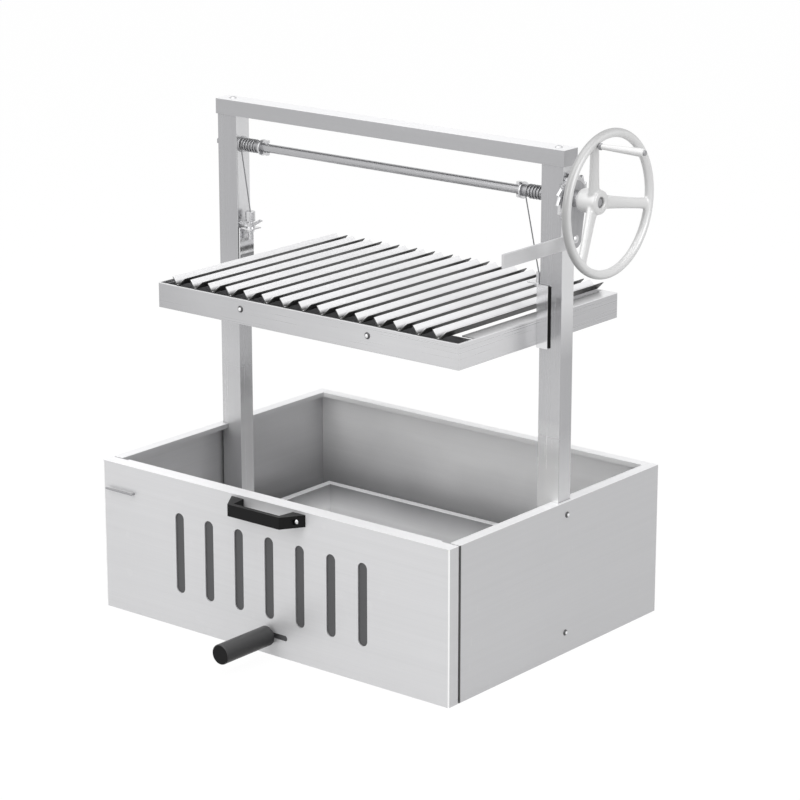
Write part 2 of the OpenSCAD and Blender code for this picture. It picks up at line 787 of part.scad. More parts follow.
// Points of a winding: live end straight down at the drum's front, then the turns
winding_points = concat(
    [[0, -winding_r, -cable_d]],
    [for (i = [0 : cable_turns * rings_per_turn])
        let (a = 360 * i / rings_per_turn)
        [turn_pitch * i / rings_per_turn, -winding_r * cos(a), winding_r * sin(a)]],
    [[winding_span, -winding_r, cable_d]]
);
winding_count = len(winding_points);
// Rings of a tube round points that run about the X axis
function tangent(p, i) = let (a = p[max(i - 1, 0)], b = p[min(i + 1, len(p) - 1)]) (b - a) / norm(b - a);
function radial(p) = let (v = [0, p[1], p[2]]) v / norm(v);
function ring(p, i, r) =
    let (t = tangent(p, i), s = cross(t, radial(p[i])), u = s / norm(s), w = cross(u, t))
    [for (k = [0 : ring_sides - 1]) p[i] + r * (w * cos(360 * k / ring_sides) + u * sin(360 * k / ring_sides))];
module tube(p, r) {
    n = len(p);
    polyhedron(
        points = [for (i = [0 : n - 1]) each ring(p, i, r)],
        faces = concat(
            [for (k = [1 : ring_sides - 2]) [0, k, k + 1]],
            [for (i = [0 : n - 2], k = [0 : ring_sides - 1])
                let (a = i * ring_sides, b = a + ring_sides, m = (k + 1) % ring_sides) [a + k, b + k, b + m]],
            [for (i = [0 : n - 2], k = [0 : ring_sides - 1])
                let (a = i * ring_sides, b = a + ring_sides, m = (k + 1) % ring_sides) [a + k, b + m, a + m]],
            [for (k = [1 : ring_sides - 2]) let (e = (n - 1) * ring_sides) [e, e + k + 1, e + k]]
        )
    );
}
least_gap = min([for (i = [0 : winding_count - 1], j = [i + rings_per_turn / 2 : winding_count - 1])
    norm(winding_points[i] - winding_points[j])]) - cable_d;
echo(winding_gap = least_gap);
module cable_winding_right() {
    color(bright) translate([live_right_x, post_y, shaft_z]) tube(winding_points, cable_d / 2);
}
module cable_winding_left() {
    color(bright) translate([live_left_x, post_y, shaft_z]) tube(winding_points, cable_d / 2);
}
module anchor_bolts() {
    color(bright) for (side = [-1, 1]) {
        x = side * anchor_x;
        union() {
            hex_z(x, post_y, shaft_z + anchor_stand, shaft_z + anchor_stand + anchor_head_h, anchor_head_r);
            rod_z(x, post_y, shaft_z - anchor_stand - anchor_head_h, shaft_z + anchor_stand, anchor_r);
        }
        difference() {
            hex_z(x, post_y, shaft_z - anchor_stand - anchor_head_h + anchor_end, shaft_z - anchor_stand + anchor_end, anchor_head_r);
            rod_z(x, post_y, shaft_z - anchor_stand - anchor_head_h - over, shaft_z, anchor_r);
        }
    }
}

// Ratchet outline: each tooth rises slowly and drops square
module ratchet_outline() {
    step = 360 / ratchet_teeth;
    root_r = ratchet_r - tooth_h;
    polygon([for (i = [0 : ratchet_teeth - 1], k = [0, 1])
        let (a = nose_angle + i * step, r = k == 0 ? ratchet_r : root_r) [r * cos(a), r * sin(a)]]);
}
module ratchet_wheel() {
    color(dull) difference() {
        union() {
            extrude_x(ratchet_x, ratchet_t) translate([post_y, shaft_z]) ratchet_outline();
            rod_x(ratchet_x + ratchet_t, hub_x, post_y, shaft_z, boss_r);
        }
        rod_x(ratchet_x - over, hub_x + over, post_y, shaft_z, shaft_r);
    }
}

// Wheel axis placed along X
module hand_wheel() {
    hub_r = hub_d / 2;
    mid_x = hub_x + hub_len * spoke_root_share;
    reach = rim_r;
    slant = atan((wheel_x - mid_x) / reach);
    color(bright) difference() {
        union() {
            translate([wheel_x, post_y, shaft_z]) rotate([0, 90, 0]) rotate_extrude($fn = 96)
                translate([rim_r, 0]) circle(r = wheel_rim_d / 2);
            rod_x(hub_x, hub_face_x, post_y, shaft_z, hub_r);
            for (i = [0 : spoke_count - 1]) {
                translate([mid_x, post_y, shaft_z]) rotate([spoke_angle - 90 + 360 * i / spoke_count, 0, 0])
                    rotate([0, slant, 0]) intersection() {
                        cylinder(h = reach / cos(slant), r1 = spoke_r_hub, r2 = spoke_r_rim);
                        block([-spoke_t / 2, -hub_r, 0], [spoke_t / 2, hub_r, reach / cos(slant)]);
                    }
            }
        }
        rod_x(hub_x - over, hub_face_x, post_y, shaft_z, shaft_r);
        rod_x(shaft_right_x, hub_face_x + over, post_y, shaft_z, hub_recess_r);
        rod_x(wheel_x - wheel_rim_d, wheel_x + wheel_rim_d, crank_y, crank_z, spindle_r);
        rod_x(wheel_x - wheel_rim_d, wheel_x - wheel_rim_d / 2, crank_y, crank_z, spindle_nut_r + near);
    }
}
module wheel_bolt() {
    color(bright) union() {
        rod_x(shaft_right_x, shaft_right_x + washer_t, post_y, shaft_z, hub_recess_r - near);
        hex_x(shaft_right_x + washer_t, shaft_right_x + washer_t + end_head_h, post_y, shaft_z, end_head_r);
        rod_x(shaft_right_x - end_bolt_len, shaft_right_x, post_y, shaft_z, tap_r);
    }
}
module shaft_end_bolt() {
    color(bright) union() {
        rod_x(shaft_left_x - washer_t, shaft_left_x, post_y, shaft_z, bush_r);
        hex_x(shaft_left_x - washer_t - end_head_h, shaft_left_x - washer_t, post_y, shaft_z, end_head_r);
        rod_x(shaft_left_x, shaft_left_x + end_bolt_len, post_y, shaft_z, tap_r);
    }
}

module crank_spindle() {
    back_x = wheel_x - wheel_rim_d / 2 - spindle_nut_h;
    color(bright) union() {
        rod_x(back_x, crank_end_x + spindle_head_h, crank_y, crank_z, spindle_r);
        hex_x(back_x, back_x + spindle_nut_h, crank_y, crank_z, spindle_nut_r);
        hex_x(wheel_x + wheel_rim_d / 2, crank_x - near, crank_y, crank_z, spindle_nut_r);
        rod_x(crank_end_x + near, crank_end_x + spindle_head_h, crank_y, crank_z, crank_base_r);
    }
}
module crank_grip() {
    bore_r = spindle_r + run_clear;
    color(bright) translate([crank_x, crank_y, crank_z]) rotate([0, 90, 0]) rotate_extrude() polygon([
        [bore_r, 0], [crank_base_r, 0], [crank_r, crank_len * crank_swell_share],
        [crank_r, crank_len - crank_bevel], [crank_r - crank_bevel, crank_len], [bore_r, crank_len]
    ]);
}

// Lever with its tooth under the ratchet, in the ratchet's plane.
// It stands just clear of the tooth tips; turned up, the tooth drops into the gap above it.
module lever_outline() {
    step = 360 / ratchet_teeth;
    a0 = nose_angle + nose_start;
    a1 = a0 + nose_span;
    r0 = ratchet_r + nose_gap;
    r1 = r0 + tooth_h * nose_span / step;
    top = pawl_z + lever_rise;
    low = top - lever_h;
    union() {
        translate([pawl_y, pawl_z]) circle(r = pivot_eye_r);
        polygon([
            [pawl_y - lever_len, low], [pawl_y, low], [pawl_y, top],
            [post_y + r1 * cos(a1), shaft_z + r1 * sin(a1)],
            [post_y + r0 * cos(a0), shaft_z + r0 * sin(a0)],
            [post_y + ratchet_r * cos(a0 - nose_start), top],
            [pawl_y - lever_len, top]
        ]);
    }
}
module pawl_lever() {
    color(steel) difference() {
        extrude_x(ratchet_x, ratchet_t) lever_outline();
        rod_x(ratchet_x - over, ratchet_x + ratchet_t + over, pawl_y, pawl_z, pivot_r + run_clear);
    }
}

module grate_frame() {
    color(steel) difference() {
        union() {
            difference() {
                block([-grate_hw, grate_front, grate_z], [grate_hw, grate_back, rail_top]);
                block([-grate_hw + rail_t, grate_front + rail_t, grate_z - over],
                      [grate_hw - rail_t, grate_back - rail_t, rail_top + over]);
            }
            for (side = [-1, 1]) mirror([side < 0 ? 1 : 0, 0, 0]) {
                block([grate_hw - rail_top_w, grate_front + rail_top_start, rail_top - rail_t],
                      [grate_hw, grate_back, rail_top]);
            }
        }
        for (side = [-1, 1]) rod_y(side * gutter_bolt_x, grate_front - over, grate_front + rail_t + over, gutter_bolt_z, gutter_bolt_r);
        for (z = rivet_zs) rod_x(-grate_hw - over, grate_hw + over, post_y, z, rivet_r);
    }
}
// V-section bars; their lower edges lie on the front and rear rails
module bar() {
    slope = bar_t * norm([bar_hw, bar_depth]) / bar_hw;
    difference() {
        translate([0, grate_back - rail_t / 4, rail_top]) rotate([90, 0, 0]) linear_extrude(grate_d - rail_t / 2)
            polygon([[0, 0], [bar_hw, bar_depth], [bar_hw - bar_t / 2, bar_depth + bar_t / 2], [0, slope],
                     [-bar_hw + bar_t / 2, bar_depth + bar_t / 2], [-bar_hw, bar_depth]]);
        translate([0, grate_front + rail_t / 4, rail_top]) rotate([-atan(bar_spout / bar_depth), 0, 0])
            block([-bar_w, -bar_w, -over], [bar_w, 0, bar_w]);
    }
}
module grate_bars() {
    color(bright) for (i = [0 : bar_count - 1]) translate([bars_x0 + i * bar_pitch, 0, 0]) bar();
}
module grease_gutter() {
    y0 = grate_front + rail_t;
    color(dull) difference() {
        block([-gutter_hw, y0, gutter_top - gutter_h], [gutter_hw, y0 + gutter_w, gutter_top]);
        block([-gutter_hw - over, y0 + gutter_t, gutter_top - gutter_h + gutter_t],
              [gutter_hw + over, y0 + gutter_w - gutter_t, gutter_top + over]);
        for (side = [-1, 1]) rod_y(side * gutter_bolt_x, y0 - over, y0 + gutter_t + over, gutter_bolt_z, gutter_bolt_r);
    }
}
module gutter_ends() {
    y0 = grate_front + rail_t + gutter_t;
    color(dull) for (side = [-1, 1]) mirror([side < 0 ? 1 : 0, 0, 0])
        block([gutter_hw - gutter_t, y0, gutter_top - gutter_h + gutter_t],
              [gutter_hw, y0 + gutter_w - 2 * gutter_t, gutter_top]);
}
module gutter_bolts() {
    y1 = grate_front + rail_t + gutter_t;
    color(bright) for (side = [-1, 1]) {
        x = side * gutter_bolt_x;
        union() {
            button_y(x, grate_front, gutter_bolt_z, gutter_head_r, gutter_head_h);
            rod_y(x, grate_front, y1 + nut_h, gutter_bolt_z, gutter_bolt_r);
        }
        difference() {
            translate([x, y1, gutter_bolt_z]) rotate([-90, 0, 0]) cylinder(h = nut_h - over, r = gutter_head_r, $fn = 6);
            rod_y(x, y1 - over, y1 + nut_h, gutter_bolt_z, gutter_bolt_r);
        }
    }
}

// Guide bracket on the wheel side: web, one flange over the post's front, top tab
module guide_bracket() {
    web_x = grate_hw;
    flange_y = post_y - guide_half_d;
    difference() {
        union() {
            block([web_x, flange_y, guide_z], [web_x + guide_t, post_y + post_d / 2, guide_top]);
            block([web_x, flange_y, guide_z], [post_in_x + guide_reach, flange_y + guide_t, guide_top]);
            block([web_x + guide_t - tab_w, post_y - tab_half_d, guide_top - guide_t],
                  [web_x + guide_t, post_y + tab_half_d, guide_top]);
        }
        rod_z(cable_x, post_y, guide_top - guide_t - over, guide_top + over, tab_hole_r);
        for (z = rivet_zs) rod_x(web_x - over, web_x + guide_t + over, post_y, z, rivet_r);
    }
}
// The same bracket turned half round for the other post, so its flange is behind that post
module half_turn() {
    translate([0, 2 * post_y, 0]) rotate([0, 0, 180]) children();
}
module guide_bracket_right() { color(bright) guide_bracket(); }
module guide_bracket_left() { color(bright) half_turn() guide_bracket(); }
module guide_rivets() {
    color(dull) for (side = [-1, 1], z = rivet_zs) mirror([side < 0 ? 1 : 0, 0, 0]) union() {
        rod_x(grate_hw - rail_t - rivet_head_h, grate_hw - rail_t, post_y, z, rivet_head_r);
        rod_x(grate_hw - rail_t, grate_hw + guide_t, post_y, z, rivet_r);
    }
}

module cable_stop_right() {
    color(dull) union() {
        rod_z(cable_x, post_y, guide_top - guide_t - stop_h, guide_top - guide_t, stop_r);
        rod_z(cable_x, post_y, guide_top - guide_t - stop_h, guide_top + ferrule_h, ferrule_r);
    }
}
module levelling_screw() {
    color(bright) rod_z(-cable_x, post_y, guide_top - level_drop, guide_top + level_rise, level_r);
}
module levelling_nut() {
    color(bright) difference() {
        hex_z(-cable_x, post_y, guide_top - guide_t - nut_h, guide_top - guide_t, wing_hub_r);
        rod_z(-cable_x, post_y, guide_top - guide_t - nut_h - over, guide_top, level_r);
    }
}
module wing_nut() {
    color(bright) difference() {
        union() {
            rod_z(-cable_x, post_y, guide_top, guide_top + wing_hub_h, wing_hub_r);
            translate([-cable_x, post_y, guide_top]) rotate([0, 0, wing_turn])
                translate([0, wing_t / 2, 0]) rotate([90, 0, 0]) linear_extrude(wing_t) polygon([
                    [-wing_span / 2, wing_h], [-wing_span / 2 + wing_tip, wing_h + wing_t],
                    [-wing_root, wing_hub_h - wing_inset], [wing_root, wing_hub_h - wing_inset],
                    [wing_span / 2 - wing_tip, wing_h + wing_t], [wing_span / 2, wing_h],
                    [wing_root, wing_inset], [-wing_root, wing_inset]
                ]);
        }
        rod_z(-cable_x, post_y, guide_top - over, guide_top + wing_h + wing_t + over, level_r);
    }
}
module cable_sleeve_left() {
    color(bright) difference() {
        rod_z(-cable_x, post_y, sleeve_z, sleeve_z + sleeve_h, sleeve_r);
        rod_z(-cable_x, post_y, sleeve_z - over, guide_top + level_rise, level_r);
    }
}

left_panel();
right_panel();
rear_panel();
floor_plate();
left_post();
right_post();
post_bolts();
post_spacers();
top_beam();
post_plugs();
beam_bolts();
shaft_bushes();
pivot_plate();
pawl_pivot_bolt();
pivot_spacers();
cable_run_left();
cable_run_right();
front_panel();
bow_handle();
handle_screws();
damper_rails();
panel_lug();
hook_latch();
damper_plate();
damper_stud();
damper_nut();
damper_grip();
ash_pan();
winch_shaft();
cable_drums();
drum_collars();
cable_winding_left();
cable_winding_right();
anchor_bolts();
ratchet_wheel();
hand_wheel();
wheel_bolt();
shaft_end_bolt();
crank_spindle();
crank_grip();
pawl_lever();
grate_frame();
grate_bars();
grease_gutter();
gutter_ends();
gutter_bolts();
guide_bracket_left();
guide_bracket_right();
guide_rivets();
cable_stop_right();
levelling_screw();
levelling_nut();
wing_nut();
cable_sleeve_left();
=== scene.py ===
"""Charcoal grill insert: finishes, rounded sheet metal, cables and fasteners."""
import math

import bmesh
import bpy
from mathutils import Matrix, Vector
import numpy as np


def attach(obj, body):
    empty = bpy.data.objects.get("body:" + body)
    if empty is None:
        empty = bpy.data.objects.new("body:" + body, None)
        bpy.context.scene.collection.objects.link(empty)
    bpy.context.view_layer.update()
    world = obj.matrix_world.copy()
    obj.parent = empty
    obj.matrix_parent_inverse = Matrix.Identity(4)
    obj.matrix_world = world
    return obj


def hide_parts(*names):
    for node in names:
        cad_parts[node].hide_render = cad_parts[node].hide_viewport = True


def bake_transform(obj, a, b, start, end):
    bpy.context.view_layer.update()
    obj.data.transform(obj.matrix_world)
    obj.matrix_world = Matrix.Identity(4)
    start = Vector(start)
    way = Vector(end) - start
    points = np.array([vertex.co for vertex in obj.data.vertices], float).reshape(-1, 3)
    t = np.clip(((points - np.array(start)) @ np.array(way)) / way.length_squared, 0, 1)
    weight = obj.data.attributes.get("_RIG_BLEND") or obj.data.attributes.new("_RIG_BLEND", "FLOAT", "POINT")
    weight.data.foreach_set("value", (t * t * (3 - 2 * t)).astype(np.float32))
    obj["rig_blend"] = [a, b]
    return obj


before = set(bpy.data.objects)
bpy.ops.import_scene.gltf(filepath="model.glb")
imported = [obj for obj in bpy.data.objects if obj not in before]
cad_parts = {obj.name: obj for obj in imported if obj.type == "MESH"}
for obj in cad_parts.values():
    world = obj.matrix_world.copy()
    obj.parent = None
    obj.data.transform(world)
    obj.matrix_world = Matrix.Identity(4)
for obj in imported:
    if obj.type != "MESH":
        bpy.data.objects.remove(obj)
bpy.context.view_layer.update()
MM = 0.001

# The camera of the photograph: metres, degrees and millimetres
CAMERA_PLACE = (2.8152, -3.4151, 1.6248)
CAMERA_AZIMUTH = 39.09
CAMERA_PITCH = 16.09
CAMERA_LENS = 131.4
CAMERA_SENSOR = 36.0

# The studio
FLOOR_REACH, FLOOR_Z = 14.0, -0.0005
FLOOR_GREY, FLOOR_GLOW = 0.55, 1.05
FLOOR_SEEN_WHITE = 0.92
WORLD_LIGHT = 0.55
# name: (place, what it points at, size, watts)
LAMPS = {
    "top_softbox": ((0.1, -0.7, 3.0), (0, 0, 0.2), (3.0, 3.0), 50.0),
    "front_softbox": ((-0.6, -3.4, 2.2), (0, 0, 0.3), (2.6, 2.0), 40.0),
    "side_softbox": ((3.6, 0.0, 1.8), (0, 0, 0.4), (1.8, 1.8), 42.0),
}

# Places and sizes on the grill, in millimetres
SHAFT_Y, SHAFT_Z = 23.0, 717.0
WHEEL_X, WHEEL_R, WHEEL_RIM_R = 415.0, 105.0, 7.0
HUB_BACK, HUB_FACE, HUB_R = 367.0, 403.0, 18.5
SPOKE_ANGLES, SPOKE_START_R = (111.0, 231.0, 351.0), 9.0
SPOKE_HALF, SPOKE_TAPER, SPOKE_ROOT_FLARE, SPOKE_RIM_FLARE = 10.2, 2.6, 2.2, 1.5
SPOKE_THICK, SPOKE_THINNING = 6.2, 0.9
CAST_GRAIN = 1.5
CABLE_R, CABLE_LAY = 1.0, 14.0
WINDING_R, WINDING_TURNS, WINDING_PITCH = 10.15, 5, 5.6
CABLE_TOP_Z = 714.7
# side: (x where the cable leaves its drum, x and z of its end on the grate)
CABLES = {"left": (-299.0, -290.0, 608.8), "right": (271.0, 290.0, 596.3)}
BAR_COUNT, BAR_PITCH = 15, 37.2
BAR_HALF, BAR_DEPTH, BAR_SHEET, BAR_FOLD_R = 13.5, 12.0, 2.0, 4.5
BAR_TIP_CUT, BAR_END_GAP, BAR_SPOUT = 0.4, 0.5, 4.0
GRATE_FRONT, GRATE_BACK, RAIL_TOP = -183.5, 216.5, 528.0
# Black strips in the gaps by the guide brackets, painted shade
GAP_SHADE_X, GAP_SHADE_Y, GAP_SHADE_Z = (306.0, 324.5), (6.8, 7.8), (486.0, 581.0)
GAP_SHADE_EDGE = 0.25
GRIP_END, GRIP_Z = -381.3, 33.0
BOX_RIM_Z, PAN_RIM_Z, BEAM_TOP_Z, GRATE_RIM_Z = 245.2, 98.8, 789.2, 526.6

# Shares: the spokes' start along the hub, and a strand's radius and place in a cable
SPOKE_START, STRAND_R, STRAND_RING = 0.66, 0.36, 0.64
# A power below 1 fills out the corners of a spoke's oval section
OVAL_POWER = 0.8

# Metres between points that are one, and degrees: flat, sharp edge, smooth shading
SAME_POINT = 1e-6
FLAT_ANGLE, EDGE_ANGLE, SMOOTH_ANGLE = 0.4, 38.0, 35.0

# Steps round turned and swept shapes
LATHE_STEPS, WHEEL_STEPS, RIM_SECTION_STEPS = 64, 96, 24
SPOKE_RINGS, SPOKE_SIDES = 12, 20
TURN_STEPS, RUN_STEPS = 60, 90
FOLD_STEPS = 4


def make_camera():
    data = bpy.data.cameras.new("photo_camera")
    data.lens = CAMERA_LENS
    data.sensor_width = CAMERA_SENSOR
    data.clip_start, data.clip_end = 0.1, 60.0
    camera = bpy.data.objects.new("photo_camera", data)
    camera.location = CAMERA_PLACE
    camera.rotation_euler = (
        math.radians(90 - CAMERA_PITCH),
        0,
        math.radians(CAMERA_AZIMUTH),
    )
    bpy.context.scene.collection.objects.link(camera)
    bpy.context.scene.camera = camera


make_camera()
bpy.context.scene.view_settings.view_transform = "Standard"


# ------------------------------------------------------------------- nodes


class Nodes:
    """Adds nodes to one tree: settings first, then its sockets' values or links."""

    def __init__(self, tree):
        self.tree = tree

    def node(self, kind, settings=None, sockets=None):
        made = self.tree.nodes.new(kind)
        for key, value in (settings or {}).items():
            setattr(made, key, value)
        for key, value in (sockets or {}).items():
            self.feed(made.inputs[key], value)
        return made

    def feed(self, socket, value):
        source = value.socket if isinstance(value, Wire) else value
        if isinstance(source, bpy.types.NodeSocket):
            self.tree.links.new(source, socket)
        else:
            socket.default_value = source


class Wire:
    """A value over the surface; arithmetic on it adds Math nodes."""

    def __init__(self, nodes, socket):
        self.nodes, self.socket = nodes, socket

    def math(self, operation, *values):
        made = self.nodes.node(
            "ShaderNodeMath", {"operation": operation}, dict(enumerate(values))
        )
        return Wire(self.nodes, made.outputs[0])

    def __add__(self, other):
        return self.math("ADD", self, other)

    __radd__ = __add__

    def __sub__(self, other):
        return self.math("SUBTRACT", self, other)

    def __rsub__(self, other):
        return self.math("SUBTRACT", other, self)

    def __mul__(self, other):
        return self.math("MULTIPLY", self, other)

    __rmul__ = __mul__

    def __abs__(self):
        return self.math("ABSOLUTE", self)

    def clamp(self):
        return self.math("MINIMUM", self.math("MAXIMUM", self, 0.0), 1.0)


class Finish(Nodes):
    """One material with its Principled shader."""

    def __init__(self, name):
        self.material = bpy.data.materials.new(name)
        self.material.use_nodes = True
        super().__init__(self.material.node_tree)
        self.shader = self.tree.nodes["Principled BSDF"]
        self.place = Wire(self, self.node("ShaderNodeTexCoord").outputs["Object"])

    def along(self, axis):
        """The surface's own place on one axis, in metres."""
        parts = self.node("ShaderNodeSeparateXYZ", {}, {0: self.place})
        return Wire(self, parts.outputs[axis])

    def stretched(self, scale, turn=(0.0, 0.0, 0.0)):
        sockets = {"Vector": self.place, "Scale": scale, "Rotation": turn}
        return Wire(self, self.node("ShaderNodeMapping", {}, sockets).outputs[0])

    def noise(self, scale, detail, vector=None, rough=0.5):
        sockets = {
            "Vector": vector or self.place,
            "Scale": scale,
            "Detail": detail,
            "Roughness": rough,
        }
        return Wire(self, self.node("ShaderNodeTexNoise", {}, sockets).outputs[0])

    def band(self, value, low, high):
        """0 at low and before it, 1 at high and past it."""
        sockets = {"Value": value, "From Min": low, "From Max": high}
        made = self.node("ShaderNodeMapRange", {"clamp": True}, sockets)
        return Wire(self, made.outputs[0])

    def across(self, axis, low, high):
        """The same between two places on an axis, in millimetres."""
        return self.band(self.along(axis), low * MM, high * MM)

    def blend(self, amount, low, high):
        """A Mix node of two colours, which are its sockets 6 and 7 with output 2."""
        sockets = {"Factor": amount, 6: low, 7: high}
        made = self.node("ShaderNodeMix", {"data_type": "RGBA"}, sockets)
        return Wire(self, made.outputs[2])

    def bump(self, height, strength, distance):
        sockets = {"Height": height, "Strength": strength, "Distance": distance}
        return Wire(self, self.node("ShaderNodeBump", {}, sockets).outputs[0])

    def set(self, **values):
        for key, value in values.items():
            self.feed(self.shader.inputs[key.replace("_", " ")], value)


# ---------------------------------------------------------------- finishes


def steel(tone):
    """The grey of a sheet, with a hair of blue."""
    return (tone, tone, tone + 0.01)


def neutral(tone):
    return (tone, tone, tone)


def tint(colour, factor):
    return tuple(min(1.0, c * factor) for c in colour) + (1.0,)


WHITE = neutral(1.0)
# The sheets are one steel: FRONT_TONE and SIDE_TONE differ by the way each sheet faces the lamps, painted
# light and shade
FRONT_TONE, SIDE_TONE, BAR_TONE = steel(0.68), steel(0.53), steel(0.82)
BLACK_TONE = (0.004, 0.004, 0.0043)

# Noise scale for brushing along an axis; level brushing follows any upright sheet
GRAIN_SCALE = {
    "X": (5.0, 900.0, 900.0),
    "Y": (900.0, 5.0, 900.0),
    "Z": (900.0, 900.0, 5.0),
    "level": (5.0, 5.0, 900.0),
}
BROAD_GRAIN = 0.14
SCRATCH_SCALE, SCRATCH_TURN = (38.0, 260.0, 38.0), (0.3, 0.5, 0.9)
DULLED_METALLIC = 0.2


def brushed_steel(
    name, colour, grain, roughness=0.42, metallic=0.4, marks=0.5,
    painted_highlight_z=None, rim=0.98, painted_shades=(), dulled=None,
):
    """Sheet steel with brushing along one axis, cloudy handling marks and fine scratches.

    Heights and places are in millimetres. Above the height given for the rim, the folded
    rim is painted bright, a painted highlight. A shade is a tone and its limits, each an
    axis, the place where the tone is full and the place where it ends; it shows where all
    its limits hold, and the shades are painted light and painted shade, set by place.
    From the upper height of dulled down to the lower, the metal grows less metallic.
    """
    made = Finish(name)
    scale = GRAIN_SCALE[grain]
    fine = made.noise(1.0, 3.0, made.stretched(scale), 0.6)
    broad = made.noise(1.0, 2.0, made.stretched(tuple(s * BROAD_GRAIN for s in scale)))
    cloud = made.noise(3.5, 4.0)
    smear = made.band(made.noise(9.0, 5.0, rough=0.62), 0.52, 0.74)
    streaks = made.noise(1.0, 1.0, made.stretched(SCRATCH_SCALE, SCRATCH_TURN))
    scratch = made.band(streaks, 0.72, 0.76)
    tone = (fine * 0.5 + broad * 0.5 + cloud * 0.45 - 0.225).clamp()
    base = made.blend(tone, tint(colour, 0.90), tint(colour, 1.07))
    base = made.blend(scratch * (0.25 * marks), base, tint(colour, 1.25))
    # Painted light and shade: each shade sets the tone by place
    for shade, (axis, full, gone), *limits in painted_shades:
        waver = (cloud - 0.5) * (0.8 * (gone - full) * MM)
        share = made.band(made.along(axis) + waver, full * MM, gone * MM)
        for limit in limits:
            share = share.math("MAXIMUM", share, made.across(*limit))
        shaded = made.blend(tone, tint(shade, 0.92), tint(shade, 1.06))
        base = made.blend(share, shaded, base)
    # Painted highlight: the rim's top is painted bright
    if painted_highlight_z:
        top = made.across("Z", painted_highlight_z, painted_highlight_z + 0.4)
        base = made.blend(top * (tone * 0.2 + 0.8), base, tint(BAR_TONE, rim))
    if dulled:
        sheen = made.across("Z", *dulled)
        metallic = sheen * (metallic - DULLED_METALLIC) + DULLED_METALLIC
    rough = (fine - 0.5) * 0.16 + (broad - 0.5) * 0.10 + smear * (0.09 * marks)
    made.set(
        Base_Color=base,
        Metallic=metallic,
        Roughness=(rough + roughness).clamp(),
        Normal=made.bump(fine + broad * 0.6 - scratch * 0.5, 0.16, 0.00012),
    )
    return made.material


def plated_steel(name, colour, roughness=0.34, metallic=0.8, cloudy=1.0):
    """Turned or plated small parts, with faint blotches."""
    made = Finish(name)
    blotch = made.noise(60.0, 4.0)
    speck = made.noise(900.0, 2.0)
    made.set(
        Base_Color=made.blend(
            (blotch * 0.7 + speck * 0.3).clamp(),
            tint(colour, 1 - 0.16 * cloudy),
            tint(colour, 1 + 0.10 * cloudy),
        ),
        Metallic=metallic,
        Roughness=(blotch * (0.16 * cloudy) + roughness - 0.08 * cloudy).clamp(),
        Normal=made.bump(speck, 0.12, 0.0001),
    )
    return made.material


def turned_head(name, axis, face, wall):
    """Bolts with painted light on the face and painted shade on the walls, by their distance from the
    middle.
    """
    made = Finish(name)
    wall_shade = made.band(abs(made.along(axis)), face * MM, wall * MM)
    speck = made.noise(900.0, 2.0)
    bright, dark = tint((0.8, 0.8, 0.81), 1), tint((0.09, 0.09, 0.092), 1)
    made.set(
        Base_Color=made.blend(wall_shade, bright, dark),
        Metallic=0.6,
        Roughness=(speck * 0.2 + 0.25).clamp(),
        Normal=made.bump(speck, 0.12, 0.0001),
    )
    return made.material


def cast_alloy(name, colour):
    """Cast and tumbled alloy: soft grain, small pits, and painted shade round the rim's outside."""
    made = Finish(name)
    aside = made.along("Y") - SHAFT_Y * MM
    above = made.along("Z") - SHAFT_Z * MM
    spread = aside * aside + above * above
    reach = spread.math("SQRT", spread)
    outside = made.band(reach, (WHEEL_R + 1.5) * MM, (WHEEL_R + WHEEL_RIM_R) * MM)
    grain = made.noise(650.0, 3.0)
    pits = made.band(made.noise(240.0, 2.0), 0.68, 0.78)
    cloud = made.noise(14.0, 3.0)
    tone = (cloud * 0.6 + grain * 0.4).clamp()
    base = made.blend(tone, tint(colour, 0.93), tint(colour, 1.05))
    base = made.blend(pits * 0.3, base, tint(colour, 0.62))
    # Painted shade: the rim's outside is painted darker
    base = made.blend(outside * 0.9, base, tint(colour, 0.48))
    made.set(
        Base_Color=base,
        Metallic=0.25,
        Roughness=(cloud * 0.14 + grain * 0.08 + 0.28).clamp(),
        Normal=made.bump(grain * 0.6 - pits, 0.14, 0.00015),
    )
    return made.material


def moulded_plastic(name, colour, painted_light_z=None):
    """Black moulding with a spark-eroded skin and rubbed high spots.

    From one of the heights given to the other, in millimetres, it is painted greyer,
    painted light on its upper side, but not on the end that faces the front.
    """
    made = Finish(name)
    skin = made.noise(1400.0, 2.0)
    rub = made.band(made.noise(40.0, 4.0), 0.55, 0.8)
    base = made.blend(rub * 0.5, tint(colour, 1.0), tint(colour, 2.2))
    if painted_light_z:
        # Painted light: the grip's upper side is painted greyer
        lit_top = made.across("Z", *painted_light_z) * made.across("Y", GRIP_END, GRIP_END + 0.6)
        base = made.blend(lit_top, base, tint((0.075, 0.075, 0.076), 1))
    made.set(
        Base_Color=base,
        Metallic=0.0,
        Roughness=(skin * 0.12 + 0.3 - rub * 0.08).clamp(),
        Specular_IOR_Level=0.12,
        Coat_Weight=0.05,
        Normal=made.bump(skin, 0.22, 0.00012),
    )
    return made.material


